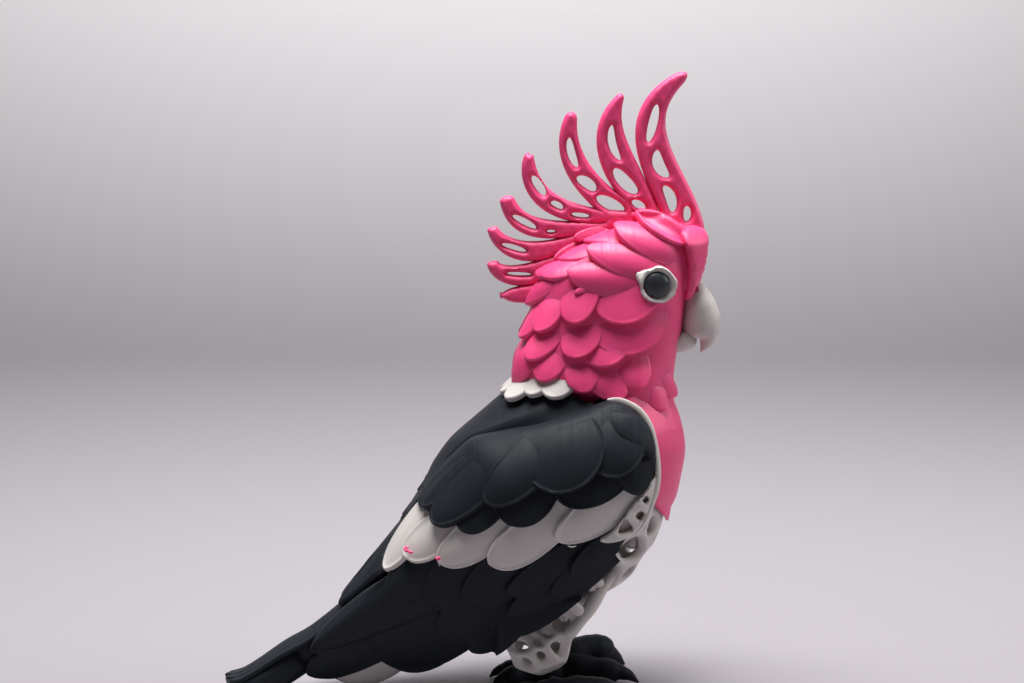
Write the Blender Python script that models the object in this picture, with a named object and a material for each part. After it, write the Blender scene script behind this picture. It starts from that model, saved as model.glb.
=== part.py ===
# A printed plastic figurine of a galah, standing on its feet and the end of its tail.
# The bird faces -Y, its left is +X and up is +Z. Lengths below are in millimetres, and
# points are written (forward, left, up) or, for side profiles, (forward, up).
import math
import bpy
import bmesh
import numpy as np
from mathutils.geometry import delaunay_2d_cdt

MM = 0.001
GAP = 0.3            # clearance between neighbouring pieces
CENTRE_FORWARD = -0.757  # forward position that lies over the origin
TAIL_TIP = (-75.3, 0.0)
WALL = 2.2           # wall of the openwork shells
RIB = 1.35           # half the width of an openwork rib
CREST_HALF = 1.45    # half the thickness of a crest feather
CREST_RIB = 2.5      # width of a crest feather's rim

PINK = ("pink", (0.80, 0.07, 0.22), 0.42)
WHITE = ("white", (0.62, 0.60, 0.59), 0.45)
DARK = ("charcoal", (0.030, 0.034, 0.040), 0.55)

for old in list(bpy.data.objects):
    bpy.data.objects.remove(old, do_unlink=True)


# ---------------------------------------------------------------- helpers
def material(spec):
    name, colour, rough = spec
    made = bpy.data.materials.get(name)
    if made is None:
        made = bpy.data.materials.new(name)
        made.use_nodes = True
        shader = made.node_tree.nodes["Principled BSDF"]
        shader.inputs["Base Color"].default_value = (*colour, 1)
        shader.inputs["Roughness"].default_value = rough
        shader.inputs["Metallic"].default_value = 0
    return made


def world(points):
    p = np.asarray(points, float)
    return np.stack([p[:, 1], -(p[:, 0] - CENTRE_FORWARD), p[:, 2]], 1) * MM


def solid(name, points, faces, finish):
    mesh = bpy.data.meshes.new(name)
    mesh.from_pydata([tuple(v) for v in world(points)], [], [tuple(int(i) for i in f) for f in faces])
    work = bmesh.new()
    work.from_mesh(mesh)
    bmesh.ops.remove_doubles(work, verts=work.verts, dist=1e-7)
    bmesh.ops.recalc_face_normals(work, faces=work.faces)
    if work.calc_volume(signed=True) < 0:
        bmesh.ops.reverse_faces(work, faces=work.faces)
    work.to_mesh(mesh)
    work.free()
    mesh.shade_smooth()
    mesh.set_sharp_from_angle(angle=math.radians(40))
    mesh.materials.append(material(finish))
    made = bpy.data.objects.new(name, mesh)
    bpy.context.scene.collection.objects.link(made)
    return made


def curve(*keys):
    """A smooth function through (x, y) keys, with no overshoot between them."""
    x = np.array([k[0] for k in keys], float)
    y = np.array([k[1] for k in keys], float)
    h = np.diff(x)
    slope = np.diff(y) / h
    m = np.zeros(len(x))
    m[0], m[-1] = slope[0], slope[-1]
    for i in range(1, len(x) - 1):
        if slope[i - 1] * slope[i] > 0:
            a, b = 2 * h[i] + h[i - 1], h[i] + 2 * h[i - 1]
            m[i] = (a + b) / (a / slope[i - 1] + b / slope[i])

    def at(v):
        v = np.clip(np.asarray(v, float), x[0], x[-1])
        i = np.clip(np.searchsorted(x, v) - 1, 0, len(h) - 1)
        t = (v - x[i]) / h[i]
        return (
            y[i] * (1 + 2 * t) * (1 - t) ** 2
            + m[i] * h[i] * t * (1 - t) ** 2
            + y[i + 1] * t * t * (3 - 2 * t)
            + m[i + 1] * h[i] * t * t * (t - 1)
        )

    return at


def grid_solid(name, outer, inner, finish):
    """A closed shell between two (rows, columns, 3) grids of points."""
    rows, cols = outer.shape[:2]
    n = rows * cols
    at = lambda i, j: i * cols + j
    faces = []
    for i in range(rows - 1):
        for j in range(cols - 1):
            a, b, c, d = at(i, j), at(i, j + 1), at(i + 1, j + 1), at(i + 1, j)
            across = np.linalg.norm(outer[i, j] - outer[i + 1, j + 1]) <= np.linalg.norm(outer[i, j + 1] - outer[i + 1, j])
            for t in ((a, b, c), (a, c, d)) if across else ((a, b, d), (b, c, d)):
                faces.append(t)
                faces.append(tuple(n + k for k in reversed(t)))
    rim = [at(0, j) for j in range(cols)]
    rim += [at(i, cols - 1) for i in range(1, rows)]
    rim += [at(rows - 1, j) for j in range(cols - 2, -1, -1)]
    rim += [at(i, 0) for i in range(rows - 2, 0, -1)]
    for a, b in zip(rim, rim[1:] + rim[:1]):
        faces.append((b, a, n + a, n + b))
    return solid(name, np.concatenate([outer.reshape(-1, 3), inner.reshape(-1, 3)]), faces, finish)


def tube(name, rings, finish):
    """A closed skin over rings of equal point count."""
    n = len(rings[0])
    faces = [tuple(range(n - 1, -1, -1))]
    for k in range(len(rings) - 1):
        for j in range(n):
            a, b = k * n + j, k * n + (j + 1) % n
            faces.append((a, b, b + n, a + n))
    faces.append(tuple(range((len(rings) - 1) * n, len(rings) * n)))
    return solid(name, np.concatenate(rings), faces, finish)


def inside(poly, points):
    x, y = points[:, 0], points[:, 1]
    found = np.zeros(len(points), bool)
    for (x0, y0), (x1, y1) in zip(poly, list(poly[1:]) + [poly[0]]):
        crosses = (y0 > y) != (y1 > y)
        with np.errstate(divide="ignore", invalid="ignore"):
            found ^= crosses & (x < (x1 - x0) * (y - y0) / (y1 - y0) + x0)
    return found


def region(add, within=None, cut=(), step=5.0, also=()):
    """Triangles covering the union of the outlines in add, kept to within and clear of cut."""
    polys = [list(p) for p in add] + ([list(within)] if within is not None else []) + [list(p) for p in cut]
    verts, faces = [], []
    for p in polys:
        area = sum(a[0] * b[1] - b[0] * a[1] for a, b in zip(p, p[1:] + p[:1]))
        p = p if area > 0 else p[::-1]
        faces.append(list(range(len(verts), len(verts) + len(p))))
        verts += p
    allp = np.array([q for p in add for q in p])
    lo, hi = allp.min(0), allp.max(0)
    nx, ny = int((hi[0] - lo[0]) / step) + 2, int((hi[1] - lo[1]) / (step * 0.87)) + 2
    g = np.array([(lo[0] + (i + 0.5 * (j % 2)) * step, lo[1] + j * step * 0.87) for j in range(ny) for i in range(nx)])
    keep = np.zeros(len(g), bool)
    for p in add:
        keep |= inside(p, g)
    if within is not None:
        keep &= inside(within, g)
    for p in cut:
        keep &= ~inside(p, g)
    edge = np.array(verts)
    g = g[keep]
    if len(g):
        near = np.sqrt(((g[:, None] - edge[None]) ** 2).sum(2)).min(1)
        g = g[near > step * 0.45]
    points = [tuple(v) for v in verts] + [tuple(v) for v in g] + [tuple(v) for v in also]
    out = delaunay_2d_cdt(points, [], faces, 1, 1e-3, True)
    p2 = np.array([tuple(v) for v in out[0]])
    n_add, n_in = len(add), len(add) + (within is not None)
    tris = []
    for f, origin in zip(out[2], out[5]):
        o = set(origin)
        if not any(i < n_add for i in o) or any(i >= n_in for i in o):
            continue
        if within is not None and n_add not in o:
            continue
        tris.append(tuple(f))
    # keep the largest piece
    owner = {}
    for k, f in enumerate(tris):
        for a, b in zip(f, f[1:] + f[:1]):
            owner.setdefault(frozenset((a, b)), []).append(k)
    seen, best = set(), []
    for k in range(len(tris)):
        if k in seen:
            continue
        group, stack = [], [k]
        seen.add(k)
        while stack:
            c = stack.pop()
            group.append(c)
            f = tris[c]
            for a, b in zip(f, f[1:] + f[:1]):
                for o in owner[frozenset((a, b))]:
                    if o not in seen:
                        seen.add(o)
                        stack.append(o)
        if len(group) > len(best):
            best = group
    tris = [tris[k] for k in best]
    used = sorted({i for f in tris for i in f})
    new = {o: i for i, o in enumerate(used)}
    return p2[used], [tuple(new[i] for i in f) for f in tris]


def prism(name, flat, tris, high, low, finish, lift=lambda p, h: np.stack([p[:, 0], h, p[:, 1]], 1)):
    """A solid over a flat triangulation, between the heights high and low at its points."""
    n = len(flat)
    points = np.concatenate([lift(flat, high), lift(flat, low)])
    faces = [tuple(f) for f in tris] + [tuple(n + i for i in reversed(f)) for f in tris]
    count = {}
    for f in tris:
        for a, b in zip(f, f[1:] + f[:1]):
            count[(a, b)] = True
    for a, b in count:
        if (b, a) not in count:
            faces.append((b, a, n + a, n + b))
    return solid(name, points, faces, finish)


def leaf(tip, angle, length, width, n=6, grow=0.0, blunt=2.6):
    """The outline of a feather whose rounded tip is at tip and which points along angle (degrees)."""
    a = math.radians(angle)
    along, across = np.array([math.cos(a), math.sin(a)]), np.array([-math.sin(a), math.cos(a)])
    tip = np.array(tip) + along * grow
    length, half = length + 2 * grow, width / 2 + grow
    side = []
    for i in range(n + 1):
        t = math.sin(i / n * math.pi / 2)
        side.append((t, half * (0.72 + 0.28 * math.sin(math.pi * min(1, t * 1.15) * 0.5)) * math.sqrt(max(0.0, 1 - t ** (2 * blunt)))))
    right = [tip - along * length * (1 - t) + across * h for t, h in side]
    left = [tip - along * length * (1 - t) - across * h for t, h in side[:-1]]
    return [tuple(p) for p in right + left[::-1]]


def bezier(p, t):
    t = np.asarray(t, float)[:, None]
    p = np.array(p, float)
    return (1 - t) ** 3 * p[0] + 3 * t * (1 - t) ** 2 * p[1] + 3 * t * t * (1 - t) * p[2] + t ** 3 * p[3]


def bezier_normal(p, t):
    t = np.asarray(t, float)[:, None]
    p = np.array(p, float)
    d = 3 * (1 - t) ** 2 * (p[1] - p[0]) + 6 * t * (1 - t) * (p[2] - p[1]) + 3 * t * t * (p[3] - p[2])
    d /= np.linalg.norm(d, axis=1)[:, None]
    return np.stack([-d[:, 1], d[:, 0]], 1)


# ---------------------------------------------------------------- body coordinates
# The folded wing and the back are laid out along a line from the neck to the tail tip:
# s runs down the line, d runs from the back towards the belly.
NECK_ROOT = np.array([37.0, 93.0])
ALONG = np.array([-0.78213571, -0.62310812])
DOWN = np.array([0.62310812, -0.78213571])


def to_sd(f, u):
    q0, q1 = np.asarray(f) - NECK_ROOT[0], np.asarray(u) - NECK_ROOT[1]
    return q0 * ALONG[0] + q1 * ALONG[1], q0 * DOWN[0] + q1 * DOWN[1]


def from_sd(s, d):
    return NECK_ROOT[0] + s * ALONG[0] + d * DOWN[0], NECK_ROOT[1] + s * ALONG[1] + d * DOWN[1]


TRUNK_S, TRUNK_D = 31.5, 19.5                 # centre of the egg of the trunk
TRUNK_LONG, TRUNK_DEEP, TRUNK_WIDE = 36.0, 32.0, 26.5
TRUNK_TOP = 91.2
TRUNK_C = np.array([from_sd(TRUNK_S, TRUNK_D)[0], 0.0, from_sd(TRUNK_S, TRUNK_D)[1]])


def trunk_half(s, d):
    inner = 1 - ((s - TRUNK_S) / TRUNK_LONG) ** 2 - ((d - TRUNK_D) / TRUNK_DEEP) ** 2
    return TRUNK_WIDE * np.sqrt(np.clip(inner, 0, None))


BACK = curve((-20, -17.5), (0, -18.5), (16, -17.6), (32, -16.8), (41, -16.4), (50.7, -14), (57, -11.0), (66, -7.6), (80, -2.4))
WING_TOP = curve((-12, 6), (-5, 3), (-1.4, 1.4), (5.7, -0.8), (16.7, -5.1), (27.7, -10.4), (36.8, -13.9), (45, -13), (53.8, -11.5), (60, -9.5), (66, -7.5), (72, -5.5), (79, -2.0), (86, 1.2), (95, 2.6), (105, 3.2), (122, 4.5))
SKIN_TOP = curve((-14, 3), (0, 0), (16, -6.2), (28, -11.4), (37, -14.8), (54, -12.8), (66, -9), (79, -4), (92, -0.6), (105, 1), (122, 2))
WING_EDGE = curve((-14, 20), (-5, 21), (10, 20), (30, 15.5), (40, 11), (50, 6.5), (58, 4.6), (80, 4.4), (100, 6.2), (112, 7.2), (122, 7.8))
WING_WIDE = curve((-14, 23), (-8, 26), (-2, 30), (6, 33.5), (18, 35.5), (32, 36), (45, 34.5), (58, 32), (72, 28.5), (86, 23), (100, 17.5), (112, 14.0), (124, 11.8))
WING_MID = curve((-14, 14), (0, 16), (20, 16), (40, 14), (60, 10), (80, 9), (124, 7))
WING_LOW = curve((-14, 20), (0, 28), (9, 33), (26, 41), (46, 41), (72, 38), (92, 28), (105, 22), (124, 13))
WING_TUCK = curve((-14, 3), (20, 6), (60, 6), (100, 4), (124, 3))
WING_THICK = curve((60, 4.6), (84, 4.4), (104, 2.6), (122, 2.2))
THIGH_OUT = 22.2       # the wing clears the thigh outside this


def wing_half(s, d):
    """How far the outside of the folded wing stands from the middle of the bird."""
    mid, wide, edge = WING_MID(s), WING_WIDE(s), WING_EDGE(s)
    t = np.clip((mid - d) / (mid - SKIN_TOP(s)), 0, 1)
    low = np.clip((d - mid) / (WING_LOW(s) - mid), 0, 1.2)
    return np.where(d < mid, edge + (wide - edge) * np.sqrt(1 - t * t), wide - WING_TUCK(s) * low * low)


def wing_inside(s, d):
    edge = WING_EDGE(s)
    inner = np.maximum(wing_half(s, d) - WING_THICK(s), edge - np.where((s < 50) | (s > 95), 1.0, 2.0))
    f, u = from_sd(s, d)
    over_thigh = (np.abs(f - 21.5) < 15) & (u < 33)
    return np.maximum(np.maximum(inner, trunk_half(s, d) + 0.7), np.where(over_thigh, THIGH_OUT + 0.5, 1.0))


# ---------------------------------------------------------------- head and neck
HEAD_BACK = curve((91.7, 18), (95, 16.5), (98, 13.5), (104, 13), (110, 15.2), (120, 18), (128, 22.5), (132, 29), (137, 35), (141, 42), (144, 50))
HEAD_FRONT = curve((91.7, 60.4), (98, 60.6), (106, 61.6), (113, 63), (120, 64), (126, 67), (132, 69.6), (138, 69.9), (141, 68.5), (144, 63))
HEAD_WIDE = curve((91.7, 19), (98, 19.3), (106, 18.2), (113, 17.6), (120, 17.2), (128, 16.8), (134, 15.2), (139, 12.5), (142, 9.5), (144, 6.5))


def head_ring(u, n=26, power=2.35):
    back, front, wide = float(HEAD_BACK(u)), float(HEAD_FRONT(u)), float(HEAD_WIDE(u))
    mid, half = (back + front) / 2, (front - back) / 2
    a = np.linspace(0, 2 * math.pi, n, endpoint=False)
    c, s = np.cos(a), np.sin(a)
    f = mid + half * np.sign(c) * np.abs(c) ** (2 / power)
    squeeze = 1 - 0.34 * np.clip((f - 58) / 12, 0, 1) ** 1.5 * (u > 118)
    return np.stack([f, wide * squeeze * np.sign(s) * np.abs(s) ** (2 / power), np.full(n, u)], 1)


HEAD_LEVELS = [91.7, 95.5, 100, 104.5, 109, 113.5, 118, 122.5, 127, 131, 134.5, 138, 141, 143, 144]
SPLIT_BACK, SPLIT_FRONT = (18.0, 119.7), (62.0, 105.8)   # the head ends at this line


def cut_plane(made, point, normal):
    """Cuts away what lies on the normal's side of a plane and closes the cut."""
    work = bmesh.new()
    work.from_mesh(made.data)
    geometry = work.verts[:] + work.edges[:] + work.faces[:]
    done = bmesh.ops.bisect_plane(work, geom=geometry, dist=1e-7, plane_co=tuple(world([point])[0]), plane_no=(normal[1], -normal[0], normal[2]), clear_outer=True)
    edges = [e for e in done["geom_cut"] if isinstance(e, bmesh.types.BMEdge)]
    bmesh.ops.contextual_create(work, geom=edges)
    bmesh.ops.recalc_face_normals(work, faces=work.faces)
    work.to_mesh(made.data)
    work.free()


def split_line(offset):
    run = np.array(SPLIT_FRONT) - np.array(SPLIT_BACK)
    run = run / np.linalg.norm(run)
    normal = np.array([-run[1], run[0]])
    at = np.array(SPLIT_BACK) + normal * offset
    return (at[0], 0.0, at[1]), (normal[0], 0.0, normal[1])


rings = [head_ring(u) for u in HEAD_LEVELS]
head = tube("head", rings, PINK)
point, normal = split_line(GAP / 2)
cut_plane(head, point, tuple(-v for v in normal))
neck = tube("neck", rings, PINK)
point, normal = split_line(-GAP / 2)
cut_plane(neck, point, normal)

# eye sockets, rings and eyes
EYE = (54.5, 126.6)
EYE_R, RING_R, SOCKET_R = 3.85, 5.65, 6.0
SOCKET_L = 14.4


def turned(name, profile, centre, side, finish, n=16):
    """A turned piece on the left-right axis, from (radius, left) pairs; a radius of 0 closes an end."""
    a = np.linspace(0, 2 * math.pi, n, endpoint=False)
    points, faces, rows = [], [], []
    for r, l in profile:
        if r == 0:
            rows.append([len(points)])
            points.append((centre[0], side * l, centre[1]))
        else:
            rows.append(list(range(len(points), len(points) + n)))
            points += [(centre[0] + r * math.cos(t), side * l, centre[1] + r * math.sin(t)) for t in a]
    closed = profile[0][0] and profile[-1][0]
    pairs = list(zip(rows, rows[1:])) + ([(rows[-1], rows[0])] if closed else [])
    for one, two in pairs:
        for j in range(n):
            k = (j + 1) % n
            quad = [one[j % len(one)], one[k % len(one)], two[k % len(two)], two[j % len(two)]]
            quad = list(dict.fromkeys(quad))
            if len(quad) > 2:
                faces.append(tuple(quad))
    return solid(name, points, faces, finish)


for side, mark in ((1, "L"), (-1, "R")):
    cutter = turned("socket_cut_" + mark, [(0, SOCKET_L), (SOCKET_R, SOCKET_L), (SOCKET_R, 24), (0, 24)], EYE, side, PINK)
    cutter.hide_render = True
    cutter.display_type = "WIRE"
    cut = head.modifiers.new("socket_" + mark, "BOOLEAN")
    cut.operation = "DIFFERENCE"
    cut.object = cutter
    base = SOCKET_L + GAP
    turned("eye_ring_" + mark, [(EYE_R + GAP, base), (RING_R, base), (RING_R, base + 1.6), (RING_R - 0.7, base + 2.5), (EYE_R + 0.7, base + 2.5), (EYE_R + GAP, base + 1.8)], EYE, side, WHITE)
    turned("eye_" + mark, [(0, base), (EYE_R, base), (EYE_R, base + 0.9), (EYE_R * 0.82, base + 1.8), (EYE_R * 0.45, base + 2.3), (0, base + 2.5)], EYE, side, DARK)

# beak: rings between the ridge line and the cutting edge
RIDGE = curve((0, 68.6), (0.14, 70.8), (0.3, 72.9), (0.5, 74.0), (0.7, 73.4), (0.86, 71.5), (1, 69.3)), curve((0, 126.0), (0.14, 124.2), (0.3, 121.2), (0.5, 116.6), (0.7, 111.6), (0.86, 108.0), (1, 105.6))
GAPE = curve((0, 67.6), (0.14, 66.0), (0.3, 64.3), (0.5, 63.6), (0.7, 66.6), (0.86, 68.2), (1, 68.8)), curve((0, 125.0), (0.14, 121.8), (0.3, 117.4), (0.5, 112.2), (0.7, 110.0), (0.86, 107.6), (1, 105.6))
BEAK_WIDE = curve((0, 2.2), (0.14, 5.6), (0.3, 6.9), (0.5, 6.4), (0.7, 4.2), (0.86, 2.4), (1, 0.5))
beak_rings = []
for t in (0.03, 0.1, 0.2, 0.32, 0.45, 0.58, 0.7, 0.8, 0.9, 0.985):
    o = np.array([RIDGE[0](t), RIDGE[1](t)])
    i = np.array([GAPE[0](t), GAPE[1](t)])
    a = np.linspace(0, 2 * math.pi, 14, endpoint=False)
    mid, arm = (o + i) / 2, (o - i) / 2
    beak_rings.append(np.stack([mid[0] + arm[0] * np.cos(a), float(BEAK_WIDE(t)) * np.sin(a), mid[1] + arm[1] * np.cos(a)], 1))
tube("beak_upper", beak_rings, WHITE)
lower_rings = []
for t, f, u, deep, wide in ((0, 62.8, 108.2, 2.9, 4.9), (1, 64.4, 108.0, 2.5, 4.3), (2, 66.2, 107.9, 1.4, 2.9), (3, 67.0, 107.8, 0.6, 1.6)):
    a = np.linspace(0, 2 * math.pi, 10, endpoint=False)
    lower_rings.append(np.stack([np.full(10, f), wide * np.sin(a), u + deep * np.cos(a)], 1))
tube("beak_lower", lower_rings, WHITE)

# ---------------------------------------------------------------- crest
# root, two handles and tip of each feather's middle line, its width, and its slots as
# (start, end) along that line
CREST = (
    ((64.2, 142.8), (53.0, 160.0), (47.0, 181.5), (64.0, 188.4), 10.4, ((0.07, 0.22), (0.27, 0.42), (0.46, 0.72))),
    ((52.5, 144.0), (45.0, 155.0), (37.0, 173.0), (44.5, 182.5), 10.0, ((0.26, 0.41), (0.46, 0.73))),
    ((49.0, 143.5), (35.0, 153.0), (27.5, 165.5), (30.0, 177.0), 7.6, ((0.10, 0.26), (0.32, 0.46), (0.52, 0.78))),
    ((50.0, 144.0), (29.5, 146.5), (15.0, 153.5), (18.0, 164.5), 6.2, ((0.42, 0.51), (0.58, 0.77))),
    ((41.5, 141.5), (26.5, 141.0), (11.0, 141.0), (10.5, 152.0), 5.6, ((0.54, 0.77),)),
    ((35.5, 138.0), (22.0, 135.0), (10.0, 134.5), (5.5, 142.5), 5.8, ((0.53, 0.78),)),
    ((31.0, 133.5), (22.0, 129.0), (11.5, 127.0), (5.5, 132.5), 5.8, ((0.46, 0.74),)),
    ((26.5, 127.0), (20.5, 124.0), (14.5, 121.5), (8.5, 122.0), 4.6, ()),
)


def crest_half(row, t, grow=0.0):
    root = 0.62 + 0.38 * np.sin(np.clip(t / 0.45, 0, 1) * math.pi / 2) if row > 1 else 1 - 0.12 * t
    return CREST[row][4] / 2 * root * np.sqrt(1 - np.clip(t, 0, 1) ** 4.2) + grow


def crest_outline(row, grow=0.0, n=9):
    p = CREST[row][:4]
    t = 1.08 * np.sin(np.linspace(0, 1, n) * math.pi / 2) ** 0.9 - 0.08
    mid, side, half = bezier(p, t), bezier_normal(p, t), crest_half(row, t, grow)
    if grow:
        mid = mid + (mid - bezier(p, np.clip(t - 0.02, 0, 1))) * (t[:, None] > 0.99) * 2
    one, two = mid + side * half[:, None], mid - side * half[:, None]
    return [tuple(q) for q in one] + [tuple(q) for q in (two[::-1] if grow else two[:-1][::-1])]


def crest_slot(row, start, end, n=3):
    p = CREST[row][:4]
    k = np.linspace(-1, 1, 2 * n + 1)
    t = (start + end) / 2 + (end - start) / 2 * np.sin(k * math.pi / 2)
    half = np.maximum(crest_half(row, t) - CREST_RIB * (0.82 if row > 2 else 1), 0.45) * np.sqrt(np.clip(1 - np.abs(k) ** 2.4, 0, 1))
    mid, side = bezier(p, t), bezier_normal(p, t)
    one, two = mid + side * half[:, None], mid - side * half[:, None]
    return [tuple(q) for q in one] + [tuple(q) for q in two[1:-1][::-1]]


def head_profile(grow):
    u = np.linspace(100, 144, 23)
    front = [(float(HEAD_FRONT(v)) + grow, v) for v in u]
    back = [(float(HEAD_BACK(v)) - grow, v) for v in u[::-1]]
    return [front[0]] + front[1:] + [(front[-1][0], 144 + grow), (back[0][0], 144 + grow)] + back


shadow = [head_profile(0.35)]
for row in range(len(CREST)):
    outline = crest_outline(row)
    slots = [crest_slot(row, a, b) for a, b in CREST[row][5]]
    flat, tris = region([outline], cut=shadow + slots, step=30)
    prism("crest_%d" % (row + 1), flat, tris, np.full(len(flat), CREST_HALF), np.full(len(flat), -CREST_HALF), PINK)
    shadow.append(crest_outline(row, grow=0.4))

# ---------------------------------------------------------------- openwork shells
def sphere_points(count, seed, jitter=0.30):
    rng = np.random.default_rng(seed)
    i = np.arange(count) + 0.5
    z = 1 - 2 * i / count
    a = math.pi * (1 + 5 ** 0.5) * i
    p = np.stack([np.sqrt(1 - z * z) * np.cos(a), np.sqrt(1 - z * z) * np.sin(a), z], 1)
    p += rng.normal(0, jitter * math.sqrt(4 * math.pi / count), p.shape)
    return p / np.linalg.norm(p, axis=1)[:, None]


def cells(points):
    """The cells round points on a sphere, each a ring of corner numbers, and the corners."""
    work = bmesh.new()
    for i, p in enumerate(points):
        work.verts.new(tuple(p))
    work.verts.index_update()
    bmesh.ops.convex_hull(work, input=work.verts)
    work.verts.index_update()
    bmesh.ops.triangulate(work, faces=work.faces)
    work.faces.index_update()
    corners, rings = [], []
    for face in work.faces:
        a, b, c = (np.array(v.co) for v in face.verts)
        n = np.cross(b - a, c - a)
        n /= np.linalg.norm(n)
        m = (a + b + c) / 3
        m /= np.linalg.norm(m)
        n = n if n @ m > 0 else -n
        n = 0.5 * n + 0.5 * m
        corners.append(n / np.linalg.norm(n))
    for vert in work.verts:
        centre = np.array(vert.co)
        x = np.cross(centre, (0.3, 0.5, 0.81))
        x /= np.linalg.norm(x)
        y = np.cross(centre, x)
        ids = [f.index for f in vert.link_faces]
        ids.sort(key=lambda k: math.atan2(corners[k] @ y, corners[k] @ x))
        rings.append(ids)
    work.free()
    return np.array(corners), rings


def openwork(name, centre, radius, count, seed, is_open, finish, wall=WALL, rib=RIB):
    """A hollow shell round centre with a hole in each cell that is_open names."""
    corners, rings = cells(sphere_points(count, seed))
    reach = radius(corners)
    place = centre + corners * reach[:, None]
    points = [tuple(p) for p in place]
    lift = [tuple(p) for p in centre + corners * (reach - wall)[:, None]]
    outer, holes = [], []
    for ring in rings:
        mid = place[ring].mean(0)
        if not is_open(mid):
            outer.append(tuple(ring))
            continue
        away = mid - place[ring]
        size = np.linalg.norm(away, axis=1)
        share = min(0.62, rib * 1.25 / size.mean())
        inset = place[ring] + away * share
        way = inset - centre
        dist = np.linalg.norm(way, axis=1)
        way /= dist[:, None]
        first = len(points)
        points += [tuple(p) for p in inset]
        lift += [tuple(p) for p in centre + way * (dist - wall)[:, None]]
        k = len(ring)
        for j in range(k):
            m = (j + 1) % k
            outer.append((ring[j], ring[m], first + m, first + j))
        holes.append([first + j for j in range(k)])
    n = len(points)
    faces = outer + [tuple(n + i for i in reversed(f)) for f in outer]
    for hole in holes:
        for a, b in zip(hole, hole[1:] + hole[:1]):
            faces.append((a, b, n + b, n + a))
    return solid(name, np.array(points + lift), faces, finish)


def trunk_radius(ways):
    a = (ways[:, 0] * ALONG[0] + ways[:, 2] * ALONG[1]) / TRUNK_LONG
    b = (ways[:, 0] * DOWN[0] + ways[:, 2] * DOWN[1]) / TRUNK_DEEP
    c = ways[:, 1] / TRUNK_WIDE
    r = 1 / np.sqrt(a * a + b * b + c * c)
    top = np.where(ways[:, 2] > 1e-6, (TRUNK_TOP - TRUNK_C[2]) / np.maximum(ways[:, 2], 1e-6), 1e9)
    return np.minimum(r, top)


def trunk_open(p):
    s, d = to_sd(p[0], p[2])
    return d > 21 and p[2] < 66 and not (abs(p[1]) < 16 and p[2] > 53)


openwork("trunk", TRUNK_C, trunk_radius, 64, 5, trunk_open, WHITE)

THIGH_C = np.array([21.5, 14.6, 19.5])
THIGH_KEYS = curve((-90, 11.6), (-60, 11.4), (-35, 10.6), (-10, 10.8), (15, 12.4), (40, 14.0), (90, 15))
THIGH_TILT = 0.16


def thigh_radius(side):
    centre = THIGH_C * (1, side, 1)

    def radius(ways):
        rise = np.degrees(np.arcsin(np.clip(ways[:, 2], -1, 1)))
        r = THIGH_KEYS(rise) * (1 - 0.36 * np.abs(ways[:, 1]) ** 1.5)
        # stop under the trunk
        q = centre - TRUNK_C
        grow = 1.022
        scale = lambda v: np.stack([(v[..., 0] * ALONG[0] + v[..., 2] * ALONG[1]) / (TRUNK_LONG * grow), (v[..., 0] * DOWN[0] + v[..., 2] * DOWN[1]) / (TRUNK_DEEP * grow), v[..., 1] / (TRUNK_WIDE * grow)], -1)
        o, w = scale(q[None]), scale(ways)
        a, b, c = (w * w).sum(1), 2 * (o * w).sum(1), (o * o).sum(1) - 1
        disc = b * b - 4 * a * c
        hit = np.where(disc > 0, (-b - np.sqrt(np.maximum(disc, 0))) / (2 * a), 1e9)
        hit = np.where(hit > 0, hit, 1e9)
        r = np.minimum(r, hit)
        inner_face = np.where(ways[:, 1] * side < 0, (abs(centre[1]) - 3.0) / np.maximum(-ways[:, 1] * side, 1e-6), 1e9)
        r = np.minimum(r, inner_face)
        foot = np.where(ways[:, 2] < 0, (centre[2] - 7.9) / np.maximum(-ways[:, 2], 1e-6), 1e9)
        return np.minimum(r, foot)

    return centre, radius


for side, mark in ((1, "L"), (-1, "R")):
    centre, radius = thigh_radius(side)
    openwork("thigh_" + mark, centre, radius, 20, 11, lambda p: 10.2 < p[2] < 26.5, WHITE, wall=2.0, rib=1.15)

# ---------------------------------------------------------------- wings
# feathers as (tip forward, tip up, direction in degrees, width); each row starts at the rear
COVERT_TIPS = ((-13.0, 64.5, 226, 10.0), (-9.5, 58.6, 226, 12.5), (-2.5, 56.0, 229, 14.0), (11.5, 57.6, 236, 16.0), (28.0, 62.4, 238, 19.0), (47.0, 67.0, 252, 15.0))
WHITE_TIPS = ((-25.5, 44.5, 226, 12.0), (-18.0, 47.0, 225, 13.0), (-8.5, 45.2, 224, 15.0), (6.0, 45.0, 225, 16.0), (25.5, 52.0, 222, 18.0), (39.0, 52.2, 222, 14.0))
LOWER_TIPS = ((-24.5, 13.6, 207, 17.0), (0.5, 18.6, 212, 18.0), (14.5, 23.6, 218, 17.0), (25.5, 31.0, 222, 16.0), (33.5, 37.6, 225, 14.0), (41.0, 44.6, 229, 12.0))
FLIGHT_TIPS = ((-39.5, 30.6, 214, 9.0), (-48.6, 18.4, 216, 11.0), (-50.3, 9.4, 206, 12.0))


def outline_top(lift=0.0, first=-5.0, last=118.0, n=16):
    s = np.linspace(first, last, n)
    return [tuple(from_sd(v, float(WING_TOP(v)) + lift)) for v in s]


FRONT_EDGE = [(39.2, 93.0), (43.5, 92.6), (48.6, 89.8), (51.9, 84.3), (53.7, 77.0), (54.3, 73.0), (53.0, 67.0)]
field = outline_top()[::-1] + FRONT_EDGE[1:] + [(56, 50), (50, 0), (-60, 0)]
lower_field = outline_top(lift=7.0, first=20)[::-1] + [(49, 60), (50, 0), (-60, 0)]


def feathers(rows, length, grow=0.0, n=4):
    return [leaf((f, u), angle, length, width, n=n, grow=grow) for f, u, angle, width in rows]


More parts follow.
